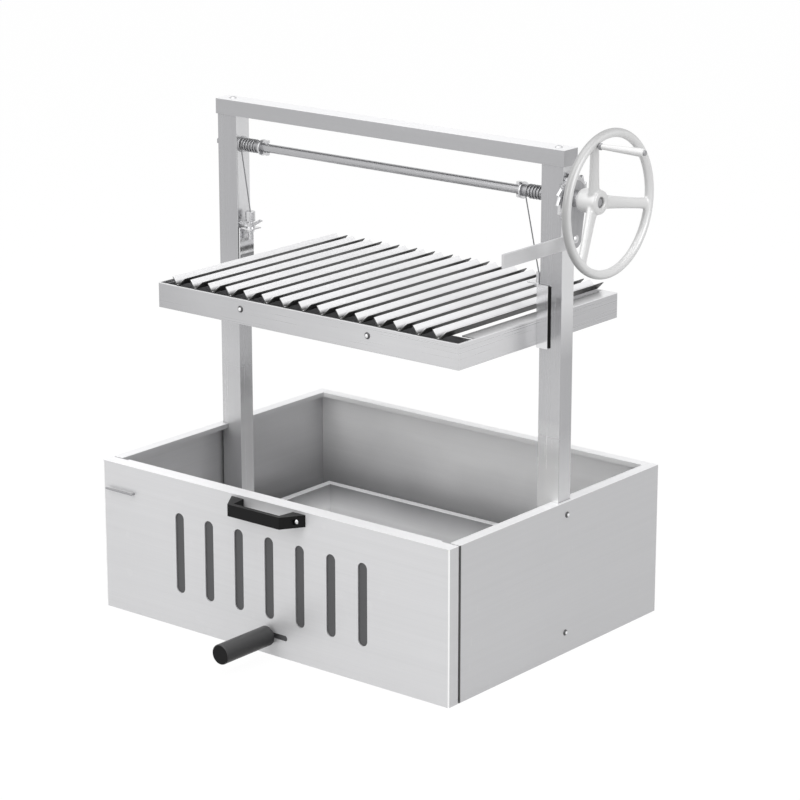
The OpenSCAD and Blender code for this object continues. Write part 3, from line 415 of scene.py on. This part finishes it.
def bar_steel(name, colour):
    """Bright folded bars whose undersides are painted dark, painted shade under the wings."""
    made = Finish(name)
    # 100.5 pitches keep the count positive and put each bar's fold at a half
    count = made.along("X") * (1 / (BAR_PITCH * MM)) + 100.5
    centred = abs(count.math("FRACT", count) - 0.5) * BAR_PITCH
    height = made.along("Z") * (1 / MM) - RAIL_TOP
    inner = made.band(height - centred * (BAR_DEPTH / BAR_HALF), 1.2, 1.8)
    fine = made.noise(1.0, 3.0, made.stretched(GRAIN_SCALE["Y"]), 0.6)
    cloud = made.noise(9.0, 4.0)
    tone = (fine * 0.6 + cloud * 0.4).clamp()
    base = made.blend(tone, tint(colour, 0.92), tint(colour, 1.06))
    # Painted shade on the wings' undersides
    underside_shade = made.blend(cloud, tint(neutral(0.012), 1), tint((0.035, 0.034, 0.033), 1))
    made.set(
        Base_Color=made.blend(inner, underside_shade, base),
        Metallic=inner * 0.35,
        Roughness=((fine - 0.5) * 0.2 + 0.45 + cloud * 0.06).clamp(),
        Normal=made.bump(fine, 0.16, 0.00012),
    )
    return made.material


# Limits of painted shades: axis, where the tone is full, where it ends
PANEL_FACE = ("Y", -266.1, -265.5)
LEFT_POST, RIGHT_POST = ("X", -10, 0), ("X", 10, 0)
LEFT_POST_INSIDE, RIGHT_POST_OUTSIDE = ("X", -304.0, -304.7), ("X", 344.0, 343.3)
UP_TO_GRATE = ("Z", 470, 560)
PAN_OUTSIDES = (
    ("Y", -211.2, -210.8), ("Y", 212.2, 211.8), ("X", 286.2, 285.8), ("X", -286.2, -285.8),
)

# The rim heights given below mark painted highlights: the sheets' folded rims, the beam's top and the grate
# rails' top edge are painted bright
FINISHES = {
    "front": brushed_steel(
        "brushed_front_sheet", FRONT_TONE, "level", marks=0.25,
        painted_highlight_z=BOX_RIM_Z, rim=1.14,
        painted_shades=[
            # Painted shade on the wrapped right end face, and painted highlights as white lines down both
            # front corners
            (steel(0.55), ("X", 349.7, 349.2)),
            (WHITE, ("X", 348.6, 348.0), PANEL_FACE),
            (WHITE, ("X", -348.6, -348.0), PANEL_FACE),
        ],
    ),
    "side": brushed_steel(
        "brushed_side_sheet", SIDE_TONE, "Y", painted_highlight_z=BOX_RIM_Z, rim=1.14,
        # Painted shade: a black line along the side sheet's front edge, for the shadow in the seam by the
        # front panel
        painted_shades=[(neutral(0.04), ("Y", -239.9, -239.3), ("X", 349.6, 349.0))],
    ),
    # Painted light and shade: the left sheet's tone is set for the light on its inner face
    "left": brushed_steel(
        "brushed_left_sheet", steel(0.66), "Y", 0.36, 0.65, painted_highlight_z=BOX_RIM_Z, rim=1.14
    ),
    # Painted light and shade: the rear sheet's inside is painted white and darker towards the bottom; its
    # outer face takes the side tone
    "rear": brushed_steel(
        "brushed_rear_sheet", WHITE, "X", 0.36, 0.1, painted_highlight_z=BOX_RIM_Z, rim=1.14,
        painted_shades=[(steel(0.40), ("Z", 70, 200)), (SIDE_TONE, ("Y", 267.0, 266.2))],
    ),
    # Painted light and shade: the pan's inside is painted near white, darker towards the rear of its floor
    # and the top of its walls; its outer faces keep a plain grey, and its rim has a painted highlight
    "pan": brushed_steel(
        "brushed_pan_sheet", steel(0.98), "X", 0.32, 0.3, painted_highlight_z=PAN_RIM_Z, rim=1.2,
        painted_shades=[
            (steel(0.40), ("Y", 230, -60)),
            (steel(0.98), ("Z", 26, 18)),
            (steel(0.34), ("Z", 96, 58)),
            *((steel(0.50), outside) for outside in PAN_OUTSIDES),
        ],
    ),
    "floor": brushed_steel("brushed_floor_plate", steel(0.50), "X"),
    "shaft": plated_steel("turned_shaft_steel", steel(0.42), 0.26, 0.85, 0.35),
    # Painted light and shade: the posts' faces are painted lighter or darker by height and by side, and the
    # right post's front white low down
    "post": brushed_steel(
        "brushed_post_tube", steel(0.42), "Z", 0.24, 0.85, 0.3,
        painted_shades=[
            (steel(0.54), ("Z", 380, 560)),
            (steel(0.66), ("Z", 240, 340)),
            (steel(0.40), LEFT_POST, ("Z", 225, 262)),
            (WHITE, RIGHT_POST, ("Z", 300, 375)),
            (steel(0.65), LEFT_POST_INSIDE, LEFT_POST),
            (steel(0.39), LEFT_POST_INSIDE, LEFT_POST, UP_TO_GRATE),
            (steel(0.66), LEFT_POST_INSIDE, LEFT_POST, ("Z", 280, 345)),
            (steel(0.65), RIGHT_POST_OUTSIDE),
            (steel(0.40), RIGHT_POST_OUTSIDE, UP_TO_GRATE),
            (steel(0.57), RIGHT_POST_OUTSIDE, ("Z", 260, 360)),
        ],
        dulled=(240, 370),
    ),
    "beam": brushed_steel(
        "brushed_beam_channel", steel(0.41), "level", painted_highlight_z=BEAM_TOP_Z
    ),
    # Painted light and shade: the rails are painted darker towards the left and towards the rear, behind the
    # posts
    "rail": brushed_steel(
        "brushed_grate_rails", steel(0.63), "level", 0.3, 0.6, 0.3, painted_highlight_z=GRATE_RIM_Z,
        painted_shades=[(steel(0.43), ("X", -340, 180)), (steel(0.46), ("Y", 60, 20))],
    ),
    "lever": brushed_steel("brushed_lever_bar", steel(0.58), "Y", 0.42),
    # Painted shade: the pivot plate is painted dark for the shadow between the wheel's rim and hub
    "plate": brushed_steel("brushed_pivot_plate", steel(0.37), "Z", 0.3, 0.7),
    # The damper plate is given a dark grey, so that the slots in front of it show dark
    "dark_damper": brushed_steel("blued_damper_sheet", (0.092, 0.092, 0.095), "X", 0.5, 0.3),
    "bars": bar_steel("bright_bar_sheet", BAR_TONE),
    "bracket": brushed_steel("bright_bracket_sheet", steel(0.74), "Z", 0.16, 1.0, 0.3),
    "dark": plated_steel("dull_plated_parts", steel(0.34), 0.45),
    "zinc": plated_steel("zinc_plated_parts", steel(0.55), 0.4),
    "bright": plated_steel("bright_turned_parts", steel(0.62), 0.26, 1.0),
    "cable": plated_steel("cable_wire", steel(0.26), 0.4),
    "wound": plated_steel("wound_cable_wire", steel(0.46), 0.24, 0.95),
    "rail_bolt": turned_head("rail_bolt_steel", "Y", 186.0, 185.6),
    "side_bolt": turned_head("side_bolt_steel", "X", 352.7, 352.3),
    "alloy": cast_alloy("cast_wheel_alloy", neutral(0.66)),
    "black": moulded_plastic("black_moulding", BLACK_TONE),
    "grip": moulded_plastic("rubbed_grip_moulding", BLACK_TONE, (GRIP_Z - 12, GRIP_Z + 15)),
}

# ------------------------------------------------------------------ pieces


def add_object(name, mesh):
    made = bpy.data.objects.new(name, mesh)
    bpy.context.scene.collection.objects.link(made)
    return made


def paint(piece, finish):
    piece.data.materials.clear()
    piece.data.materials.append(FINISHES[finish])


def smooth(mesh, angle=SMOOTH_ANGLE):
    """Smooth shading, with edges sharper than the angle kept."""
    mesh.polygons.foreach_set("use_smooth", [True] * len(mesh.polygons))
    mesh.set_sharp_from_angle(angle=math.radians(angle))
    mesh.update()


def baked(piece):
    """The piece with its modifiers made part of its mesh."""
    graph = bpy.context.evaluated_depsgraph_get()
    mesh = bpy.data.meshes.new_from_object(piece.evaluated_get(graph))
    old = piece.data
    piece.modifiers.clear()
    piece.data = mesh
    bpy.data.meshes.remove(old)
    return piece


def put_on(piece, body, finish, slot, *nodes):
    """Paints the piece and lets it ride on a body in place of these CAD nodes."""
    paint(piece, finish)
    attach(piece, body)
    if nodes:
        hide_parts(*nodes)
    return piece


def even_shading(piece, angle=SMOOTH_ANGLE):
    """Smooth edges, with the large faces kept flat."""
    smooth(piece.data, angle)
    weigh = piece.modifiers.new("flat_faces", "WEIGHTED_NORMAL")
    weigh.keep_sharp = True
    weigh.weight = 100
    return baked(piece)


def rounded_copy(node, name, width, segments=2):
    """A CAD node's shape with its doubles merged and its edges rounded."""
    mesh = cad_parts[node].data.copy()
    piece = add_object(name, mesh)
    work = bmesh.new()
    work.from_mesh(mesh)
    bmesh.ops.remove_doubles(work, verts=work.verts, dist=SAME_POINT)
    bmesh.ops.dissolve_limit(
        work, angle_limit=math.radians(FLAT_ANGLE), verts=work.verts, edges=work.edges
    )
    work.to_mesh(mesh)
    work.free()
    for key in [a.name for a in mesh.attributes if a.name.startswith("custom_normal")]:
        mesh.attributes.remove(mesh.attributes[key])
    bevel = piece.modifiers.new("edge", "BEVEL")
    bevel.width = width * MM
    bevel.segments = segments
    bevel.limit_method = "ANGLE"
    bevel.angle_limit = math.radians(EDGE_ANGLE)
    bevel.use_clamp_overlap = True
    return even_shading(baked(piece))


def dress(pieces, ending):
    """Rounded copies of CAD nodes, each named after its node."""
    for node, (body, finish, slot, edge) in pieces.items():
        put_on(rounded_copy(node, node + ending, edge), body, finish, slot, node)


# node: (body, finish, slot, edge radius in millimetres)
SHEET_PIECES = {
    "front_panel": ("front", "front", "steel", 0.7),
    "left_panel": ("frame", "left", "steel", 0.7),
    "right_panel": ("frame", "side", "steel", 0.7),
    "rear_panel": ("frame", "rear", "steel", 0.7),
    "floor_plate": ("frame", "floor", "steel", 0.4),
    "ash_pan": ("pan", "pan", "steel", 0.6),
    "left_post": ("frame", "post", "steel", 0.8),
    "right_post": ("frame", "post", "steel", 0.8),
    "top_beam": ("frame", "beam", "steel", 0.8),
    "grate_frame": ("grate", "rail", "steel", 0.7),
    "grease_gutter": ("grate", "dark", "zinc", 0.5),
    "gutter_ends": ("grate", "dark", "zinc", 0.3),
    "guide_bracket_left": ("grate", "bracket", "bright_steel", 0.6),
    "guide_bracket_right": ("grate", "bracket", "bright_steel", 0.6),
    "pivot_plate": ("frame", "plate", "steel", 0.5),
    "pawl_lever": ("pawl", "lever", "steel", 0.6),
    "damper_plate": ("damper", "dark_damper", "zinc", 0.3),
    "damper_rails": ("front", "zinc", "zinc", 0.3),
    "panel_lug": ("front", "zinc", "zinc", 0.4),
    "ratchet_wheel": ("winch", "bright", "zinc", 0.5),
}
# Turned and small pieces, with finer edges
SMALL_PIECES = {
    "post_bolts": ("frame", "side_bolt", "bright_steel", 0.2),
    "post_spacers": ("frame", "zinc", "zinc", 0.2),
    "post_plugs": ("frame", "zinc", "zinc", 0.3),
    "shaft_bushes": ("frame", "zinc", "zinc", 0.3),
    "pawl_pivot_bolt": ("frame", "bright", "bright_steel", 0.3),
    "pivot_spacers": ("frame", "zinc", "zinc", 0.2),
    "hook_latch": ("hook", "dark", "bright_steel", 0.2),
    "damper_stud": ("damper", "bright", "bright_steel", 0.3),
    "damper_nut": ("damper", "bright", "bright_steel", 0.3),
    "winch_shaft": ("winch", "shaft", "bright_steel", 0.4),
    "cable_drums": ("winch", "dark", "zinc", 0.3),
    "drum_collars": ("winch", "bright", "bright_steel", 0.4),
    "anchor_bolts": ("winch", "bright", "bright_steel", 0.4),
    "wheel_bolt": ("winch", "dark", "bright_steel", 0.4),
    # Painted shade: the end bolt is dark for the shade in the hub's bore
    "shaft_end_bolt": ("winch", "dark", "bright_steel", 0.5),
    "crank_spindle": ("winch", "dark", "bright_steel", 0.3),
    "beam_bolts": ("frame", "zinc", "bright_steel", 0.6),
    "gutter_bolts": ("grate", "rail_bolt", "bright_steel", 0.3),
    "guide_rivets": ("grate", "zinc", "zinc", 0.2),
    "cable_stop_right": ("grate", "zinc", "zinc", 0.4),
    "levelling_screw": ("grate", "bright", "bright_steel", 0.3),
    "levelling_nut": ("grate", "bright", "bright_steel", 0.5),
    "wing_nut": ("grate", "bright", "bright_steel", 0.5),
    "cable_sleeve_left": ("grate", "bright", "bright_steel", 0.6),
    "damper_grip": ("damper", "grip", "black_plastic", 0.6),
    "crank_grip": ("crank", "alloy", "bright_steel", 0.4),
    "handle_screws": ("front", "bright", "bright_steel", 0.2),
}
dress(SHEET_PIECES, "_sheet")
dress(SMALL_PIECES, "_part")

handle = rounded_copy("bow_handle", "bow_handle_part", width=3.0, segments=4)
put_on(handle, "front", "black", "black_plastic", "bow_handle")


# ----------------------------------------------------------- modelled forms


def join_rings(work, rings):
    """Faces from each ring of points to the next."""
    for low, high in zip(rings, rings[1:]):
        for i in range(len(low)):
            j = (i + 1) % len(low)
            work.faces.new((low[i], low[j], high[j], high[i]))


def lathe(work, outline, centre, steps=LATHE_STEPS):
    """Adds a shape turned about X: outline is (radius, place along X) in millimetres."""
    rings = []
    for radius, along in outline:
        ring = []
        for i in range(steps if radius > 0 else 1):
            turn = 2 * math.pi * i / steps
            place = (along, radius * math.cos(turn), radius * math.sin(turn))
            ring.append(work.verts.new((Vector(place) + Vector(centre)) * MM))
        rings.append(ring)
    for low, high in zip(rings, rings[1:]):
        for i in range(steps):
            j = (i + 1) % steps
            corners = (
                low[i % len(low)], low[j % len(low)],
                high[j % len(high)], high[i % len(high)],
            )
            # a ring on the axis is one point, so its faces are triangles or nothing
            corners = list(dict.fromkeys(corners))
            if len(corners) > 2:
                work.faces.new(corners)


def mesh_from(work, name):
    bmesh.ops.remove_doubles(work, verts=work.verts, dist=SAME_POINT / 10)
    bmesh.ops.recalc_face_normals(work, faces=work.faces)
    mesh = bpy.data.meshes.new(name)
    work.to_mesh(mesh)
    work.free()
    return mesh


def add_spoke(work, angle):
    """A spoke from the hub to the rim: stout at its root and flared at the rim."""
    out = Vector((0, math.cos(math.radians(angle)), math.sin(math.radians(angle))))
    side = Vector((0, -out.z, out.y))
    root_x = HUB_BACK + (HUB_FACE - HUB_BACK) * SPOKE_START
    rings = []
    for k in range(SPOKE_RINGS + 1):
        share = k / SPOKE_RINGS
        reach = SPOKE_START_R + (WHEEL_R - SPOKE_START_R) * share
        place = Vector((root_x + (WHEEL_X - root_x) * share, SHAFT_Y, SHAFT_Z))
        place += out * reach
        half = SPOKE_HALF - SPOKE_TAPER * share
        half += SPOKE_ROOT_FLARE * (1 - share) ** 6
        half += SPOKE_RIM_FLARE * share**8
        thick = SPOKE_THICK - SPOKE_THINNING * share
        ring = []
        for i in range(SPOKE_SIDES):
            turn = 2 * math.pi * i / SPOKE_SIDES
            wide, deep = (
                math.copysign(abs(v) ** OVAL_POWER, v)
                for v in (math.cos(turn), math.sin(turn))
            )
            corner = place + side * (half * wide) + Vector((thick * deep, 0, 0))
            ring.append(work.verts.new(corner * MM))
        rings.append(ring)
    join_rings(work, rings)
    work.faces.new(rings[0][::-1])
    work.faces.new(rings[-1])


def make_hand_wheel():
    """Cast wheel: rim, dished spokes and hub run into each other with soft fillets."""
    work = bmesh.new()
    turns = [2 * math.pi * i / RIM_SECTION_STEPS for i in range(RIM_SECTION_STEPS + 1)]
    rim = [(WHEEL_R + WHEEL_RIM_R * math.cos(t), WHEEL_RIM_R * math.sin(t)) for t in turns]
    lathe(work, rim, (WHEEL_X, SHAFT_Y, SHAFT_Z), WHEEL_STEPS)
    length = HUB_FACE - HUB_BACK
    hub = [
        (0, 0), (15.0, 0), (17.2, 1.2), (17.9, 4), (HUB_R, 14), (HUB_R, length - 3),
        (HUB_R - 0.8, length - 1), (HUB_R - 2.6, length), (9.2, length),
        (8.0, length - 1.2), (8.0, length - 12), (0, length - 12),
    ]
    lathe(work, hub, (HUB_BACK, SHAFT_Y, SHAFT_Z))
    for angle in SPOKE_ANGLES:
        add_spoke(work, angle)
    piece = add_object("cast_hand_wheel", mesh_from(work, "cast_hand_wheel"))
    skin = piece.modifiers.new("casting", "REMESH")
    skin.mode = "VOXEL"
    skin.voxel_size = CAST_GRAIN * MM
    soft = piece.modifiers.new("fillet", "SMOOTH")
    soft.factor, soft.iterations = 0.5, 5
    baked(piece)
    smooth(piece.data, 180.0)
    put_on(piece, "winch", "alloy", "bright_steel", "hand_wheel")


def make_guide_gap_shades():
    """Black strips between the guide brackets' flanges and the posts, painted shade for the gaps there."""
    work = bmesh.new()
    for turned in (1, -1):
        for corner in bmesh.ops.create_cube(work, size=1.0)["verts"]:
            x, y, z = (
                ends[0] if place < 0 else ends[1]
                for place, ends in zip(corner.co, (GAP_SHADE_X, GAP_SHADE_Y, GAP_SHADE_Z))
            )
            corner.co = Vector((x * turned, SHAFT_Y + (y - SHAFT_Y) * turned, z)) * MM
    bmesh.ops.bevel(
        work, geom=list(work.edges), offset=GAP_SHADE_EDGE * MM, segments=2,
        affect="EDGES", clamp_overlap=True,
    )
    piece = add_object("guide_gap_shades", mesh_from(work, "guide_gap_shades"))
    smooth(piece.data)
    put_on(piece, "grate", "black", "black_plastic")


make_hand_wheel()
make_guide_gap_shades()


# ------------------------------------------------------- repeats and sweeps


class Geometry(Nodes):
    """One Geometry Nodes tree with named size inputs."""

    def __init__(self, name, sizes):
        super().__init__(bpy.data.node_groups.new(name, "GeometryNodeTree"))
        face = self.tree.interface
        face.new_socket("Geometry", in_out="INPUT", socket_type="NodeSocketGeometry")
        self.keys = {}
        for label, (kind, value) in sizes.items():
            socket = face.new_socket(label, in_out="INPUT", socket_type=kind)
            socket.default_value = value
            self.keys[label] = socket.identifier
        face.new_socket("Geometry", in_out="OUTPUT", socket_type="NodeSocketGeometry")
        self.source = self.node("NodeGroupInput").outputs
        self.result = self.node("NodeGroupOutput").inputs[0]

    def end(self, geometry, finish):
        real = self.node("GeometryNodeRealizeInstances", {}, {0: geometry})
        sockets = {0: real.outputs[0], "Material": FINISHES[finish]}
        dressed = self.node("GeometryNodeSetMaterial", {}, sockets)
        self.feed(self.result, dressed.outputs[0])

    def run(self, piece, **sizes):
        modifier = piece.modifiers.new("repeat", "NODES")
        modifier.node_group = self.tree
        for label, value in sizes.items():
            modifier[self.keys[label]] = value
        return baked(piece)


def row_tree(name, finish):
    """Copies of the piece, count times from start by step."""
    made = Geometry(
        name,
        {
            "count": ("NodeSocketInt", 2),
            "start": ("NodeSocketVector", (0, 0, 0)),
            "step": ("NodeSocketVector", (0.1, 0, 0)),
        },
    )
    line = made.node(
        "GeometryNodeMeshLine",
        {"mode": "OFFSET"},
        {
            "Count": made.source["count"],
            "Start Location": made.source["start"],
            "Offset": made.source["step"],
        },
    )
    copies = made.node(
        "GeometryNodeInstanceOnPoints",
        {},
        {"Points": line.outputs[0], "Instance": made.source["Geometry"]},
    )
    made.end(copies.outputs[0], finish)
    return made


def bar_section():
    """Outline of a V-bar, (across, up) in millimetres from the bottom of its fold."""
    # the straight wing is tangent to the fold at this angle
    reach = math.hypot(BAR_HALF, BAR_DEPTH - BAR_FOLD_R)
    lean = math.atan2(BAR_DEPTH - BAR_FOLD_R, BAR_HALF) - math.acos(BAR_FOLD_R / reach)
    out = Vector((math.cos(lean), math.sin(lean)))
    up_wing = Vector((-out.y, out.x))
    turns = [lean + (-math.pi / 2 - lean) * k / FOLD_STEPS for k in range(FOLD_STEPS + 1)]

    def fold(radius):
        return [
            (radius * math.cos(t), BAR_FOLD_R + radius * math.sin(t)) for t in turns
        ]

    def by_tip(inwards, down):
        return (
            BAR_HALF - out.x * inwards - up_wing.x * down,
            BAR_DEPTH - out.y * inwards - up_wing.y * down,
        )

    wing = [
        by_tip(BAR_SHEET, BAR_TIP_CUT), by_tip(BAR_SHEET / 2, 0),
        by_tip(0, 0), by_tip(0, BAR_TIP_CUT),
    ]
    right = fold(BAR_FOLD_R - BAR_SHEET)[::-1] + wing + fold(BAR_FOLD_R)
    # the two points on the fold's middle line belong to both halves
    return right + [(-x, z) for x, z in right[-2:0:-1]]


def bar_mesh():
    """One V-bar: folded sheet with a rounded bottom and a front end cut to a spout."""
    work = bmesh.new()
    section = bar_section()
    stations = (
        (GRATE_FRONT + BAR_END_GAP, BAR_SPOUT / BAR_DEPTH),
        (0.0, 0.0),
        (GRATE_BACK - BAR_END_GAP, 0.0),
    )
    rows = []
    for place, slant in stations:
        points = [(x, place + slant * z, RAIL_TOP + z) for x, z in section]
        rows.append([work.verts.new(Vector(point) * MM) for point in points])
    join_rings(work, rows)
    work.faces.new(rows[0])
    work.faces.new(rows[-1][::-1])
    return mesh_from(work, "v_bar")


bars = row_tree("bar_row", "bars").run(
    add_object("v_bars", bar_mesh()),
    count=BAR_COUNT,
    start=(-(BAR_COUNT - 1) / 2 * BAR_PITCH * MM, 0, 0),
    step=(BAR_PITCH * MM, 0, 0),
)
even_shading(bars, 28.0)
put_on(bars, "grate", "bars", "bright_steel", "grate_bars")


def cable_tree():
    """Six twisted strands along the piece's own line of edges."""
    made = Geometry(
        "twisted_cable",
        {
            "strand": ("NodeSocketFloat", 0.0003),
            "ring": ("NodeSocketFloat", 0.0006),
            "twist": ("NodeSocketFloat", 400.0),
        },
    )
    path = made.node("GeometryNodeMeshToCurve", {}, {0: made.source["Geometry"]})
    along = made.node("GeometryNodeSplineParameter").outputs["Length"]
    turn = made.node(
        "ShaderNodeMath", {"operation": "MULTIPLY"}, {0: along, 1: made.source["twist"]}
    )
    tilted = made.node(
        "GeometryNodeSetCurveTilt", {}, {0: path.outputs[0], "Tilt": turn.outputs[0]}
    )
    spots = made.node(
        "GeometryNodeCurvePrimitiveCircle",
        {"mode": "RADIUS"},
        {"Resolution": 6, "Radius": made.source["ring"]},
    )
    strand = made.node(
        "GeometryNodeCurvePrimitiveCircle",
        {"mode": "RADIUS"},
        {"Resolution": 8, "Radius": made.source["strand"]},
    )
    points = made.node(
        "GeometryNodeCurveToPoints", {"mode": "EVALUATED"}, {0: spots.outputs[0]}
    )
    bundle = made.node(
        "GeometryNodeInstanceOnPoints",
        {},
        {"Points": points.outputs[0], "Instance": strand.outputs[0]},
    )
    section = made.node("GeometryNodeRealizeInstances", {}, {0: bundle.outputs[0]})
    swept = made.node(
        "GeometryNodeCurveToMesh",
        {},
        {
            "Curve": tilted.outputs[0],
            "Profile Curve": section.outputs[0],
            "Fill Caps": True,
        },
    )
    made.end(swept.outputs[0], "cable")
    return made


CABLE_TREE = cable_tree()


def cable_piece(name, points):
    """A cable through these points, in millimetres."""
    mesh = bpy.data.meshes.new(name)
    edges = [(i, i + 1) for i in range(len(points) - 1)]
    mesh.from_pydata([Vector(p) * MM for p in points], edges, [])
    piece = CABLE_TREE.run(
        add_object(name, mesh),
        strand=CABLE_R * STRAND_R * MM,
        ring=CABLE_R * STRAND_RING * MM,
        twist=2 * math.pi / (CABLE_LAY * MM),
    )
    smooth(piece.data, 60.0)
    return piece


def winding_path(start_x):
    """Live end from below at the drum's front, then the turns."""
    points = [(start_x, SHAFT_Y - WINDING_R, SHAFT_Z - 2 * CABLE_R)]
    for i in range(WINDING_TURNS * TURN_STEPS + 1):
        turn = 2 * math.pi * i / TURN_STEPS
        points.append(
            (
                start_x + WINDING_PITCH * i / TURN_STEPS,
                SHAFT_Y - WINDING_R * math.cos(turn),
                SHAFT_Z + WINDING_R * math.sin(turn),
            )
        )
    x, y, z = points[-1]
    points.append((x, y, z + 2 * CABLE_R))
    return points


def straight_path(top, low):
    return [
        tuple(a + (b - a) * i / RUN_STEPS for a, b in zip(top, low))
        for i in range(RUN_STEPS + 1)
    ]


for side, (drum_x, end_x, end_z) in CABLES.items():
    winding = cable_piece("cable_turns_" + side, winding_path(drum_x))
    put_on(winding, "winch", "wound", "zinc", "cable_winding_" + side)
    top = (drum_x, SHAFT_Y - WINDING_R, CABLE_TOP_Z)
    low = (end_x, SHAFT_Y, end_z)
    run = cable_piece("lifting_cable_" + side, straight_path(top, low))
    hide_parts("cable_run_" + side)
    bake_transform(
        run,
        "frame",
        "grate",
        start=tuple(v * MM for v in top),
        end=tuple(v * MM for v in low),
    )

# ------------------------------------------------------------------ studio


def make_floor():
    """A pale floor that the camera and the metal see as white."""
    mesh = bpy.data.meshes.new("studio_floor")
    corners = [(-1, -1), (1, -1), (1, 1), (-1, 1)]
    mesh.from_pydata(
        [(x * FLOOR_REACH, y * FLOOR_REACH, FLOOR_Z) for x, y in corners],
        [],
        [(0, 1, 2, 3)],
    )
    floor = add_object("studio_floor", mesh)
    finish = Finish("studio_floor")
    finish.set(Base_Color=tint(neutral(FLOOR_GREY), 1), Roughness=0.9)
    glow = finish.node(
        "ShaderNodeEmission", {}, {"Color": tint(WHITE, 1), "Strength": FLOOR_GLOW}
    )
    rays = finish.node("ShaderNodeLightPath").outputs
    camera, gloss, clear = (
        Wire(finish, rays[kind])
        for kind in ("Is Camera Ray", "Is Glossy Ray", "Is Transmission Ray")
    )
    seen = camera * FLOOR_SEEN_WHITE + gloss + clear
    mix = finish.node(
        "ShaderNodeMixShader",
        {},
        {0: seen, 1: finish.shader.outputs[0], 2: glow.outputs[0]},
    )
    finish.feed(finish.tree.nodes["Material Output"].inputs[0], mix.outputs[0])
    mesh.materials.append(finish.material)


def make_world(level):
    """White where it is seen or mirrored, and a plain level as light."""
    world = bpy.data.worlds.new("studio_world")
    bpy.context.scene.world = world
    world.use_nodes = True
    nodes = Nodes(world.node_tree)
    rays = nodes.node("ShaderNodeLightPath").outputs
    seen = Wire(nodes, rays["Is Camera Ray"])
    for kind in ("Is Glossy Ray", "Is Transmission Ray"):
        seen = seen.math("MAXIMUM", seen, Wire(nodes, rays[kind]))
    strength = nodes.node(
        "ShaderNodeMapRange", {}, {"To Min": level, "To Max": 1.0, "Value": seen}
    )
    back = nodes.tree.nodes["Background"]
    nodes.feed(back.inputs["Color"], tint(WHITE, 1))
    nodes.feed(back.inputs["Strength"], strength.outputs[0])


def make_lamp(name, place, target, size, power):
    data = bpy.data.lights.new(name, "AREA")
    data.shape = "RECTANGLE"
    data.size, data.size_y = size
    data.energy = power
    lamp = bpy.data.objects.new(name, data)
    lamp.location = place
    aim = Vector(target) - Vector(place)
    lamp.rotation_euler = aim.to_track_quat("-Z", "Y").to_euler()
    bpy.context.scene.collection.objects.link(lamp)


make_floor()
make_world(WORLD_LIGHT)
for name, lamp in LAMPS.items():
    make_lamp(name, *lamp)
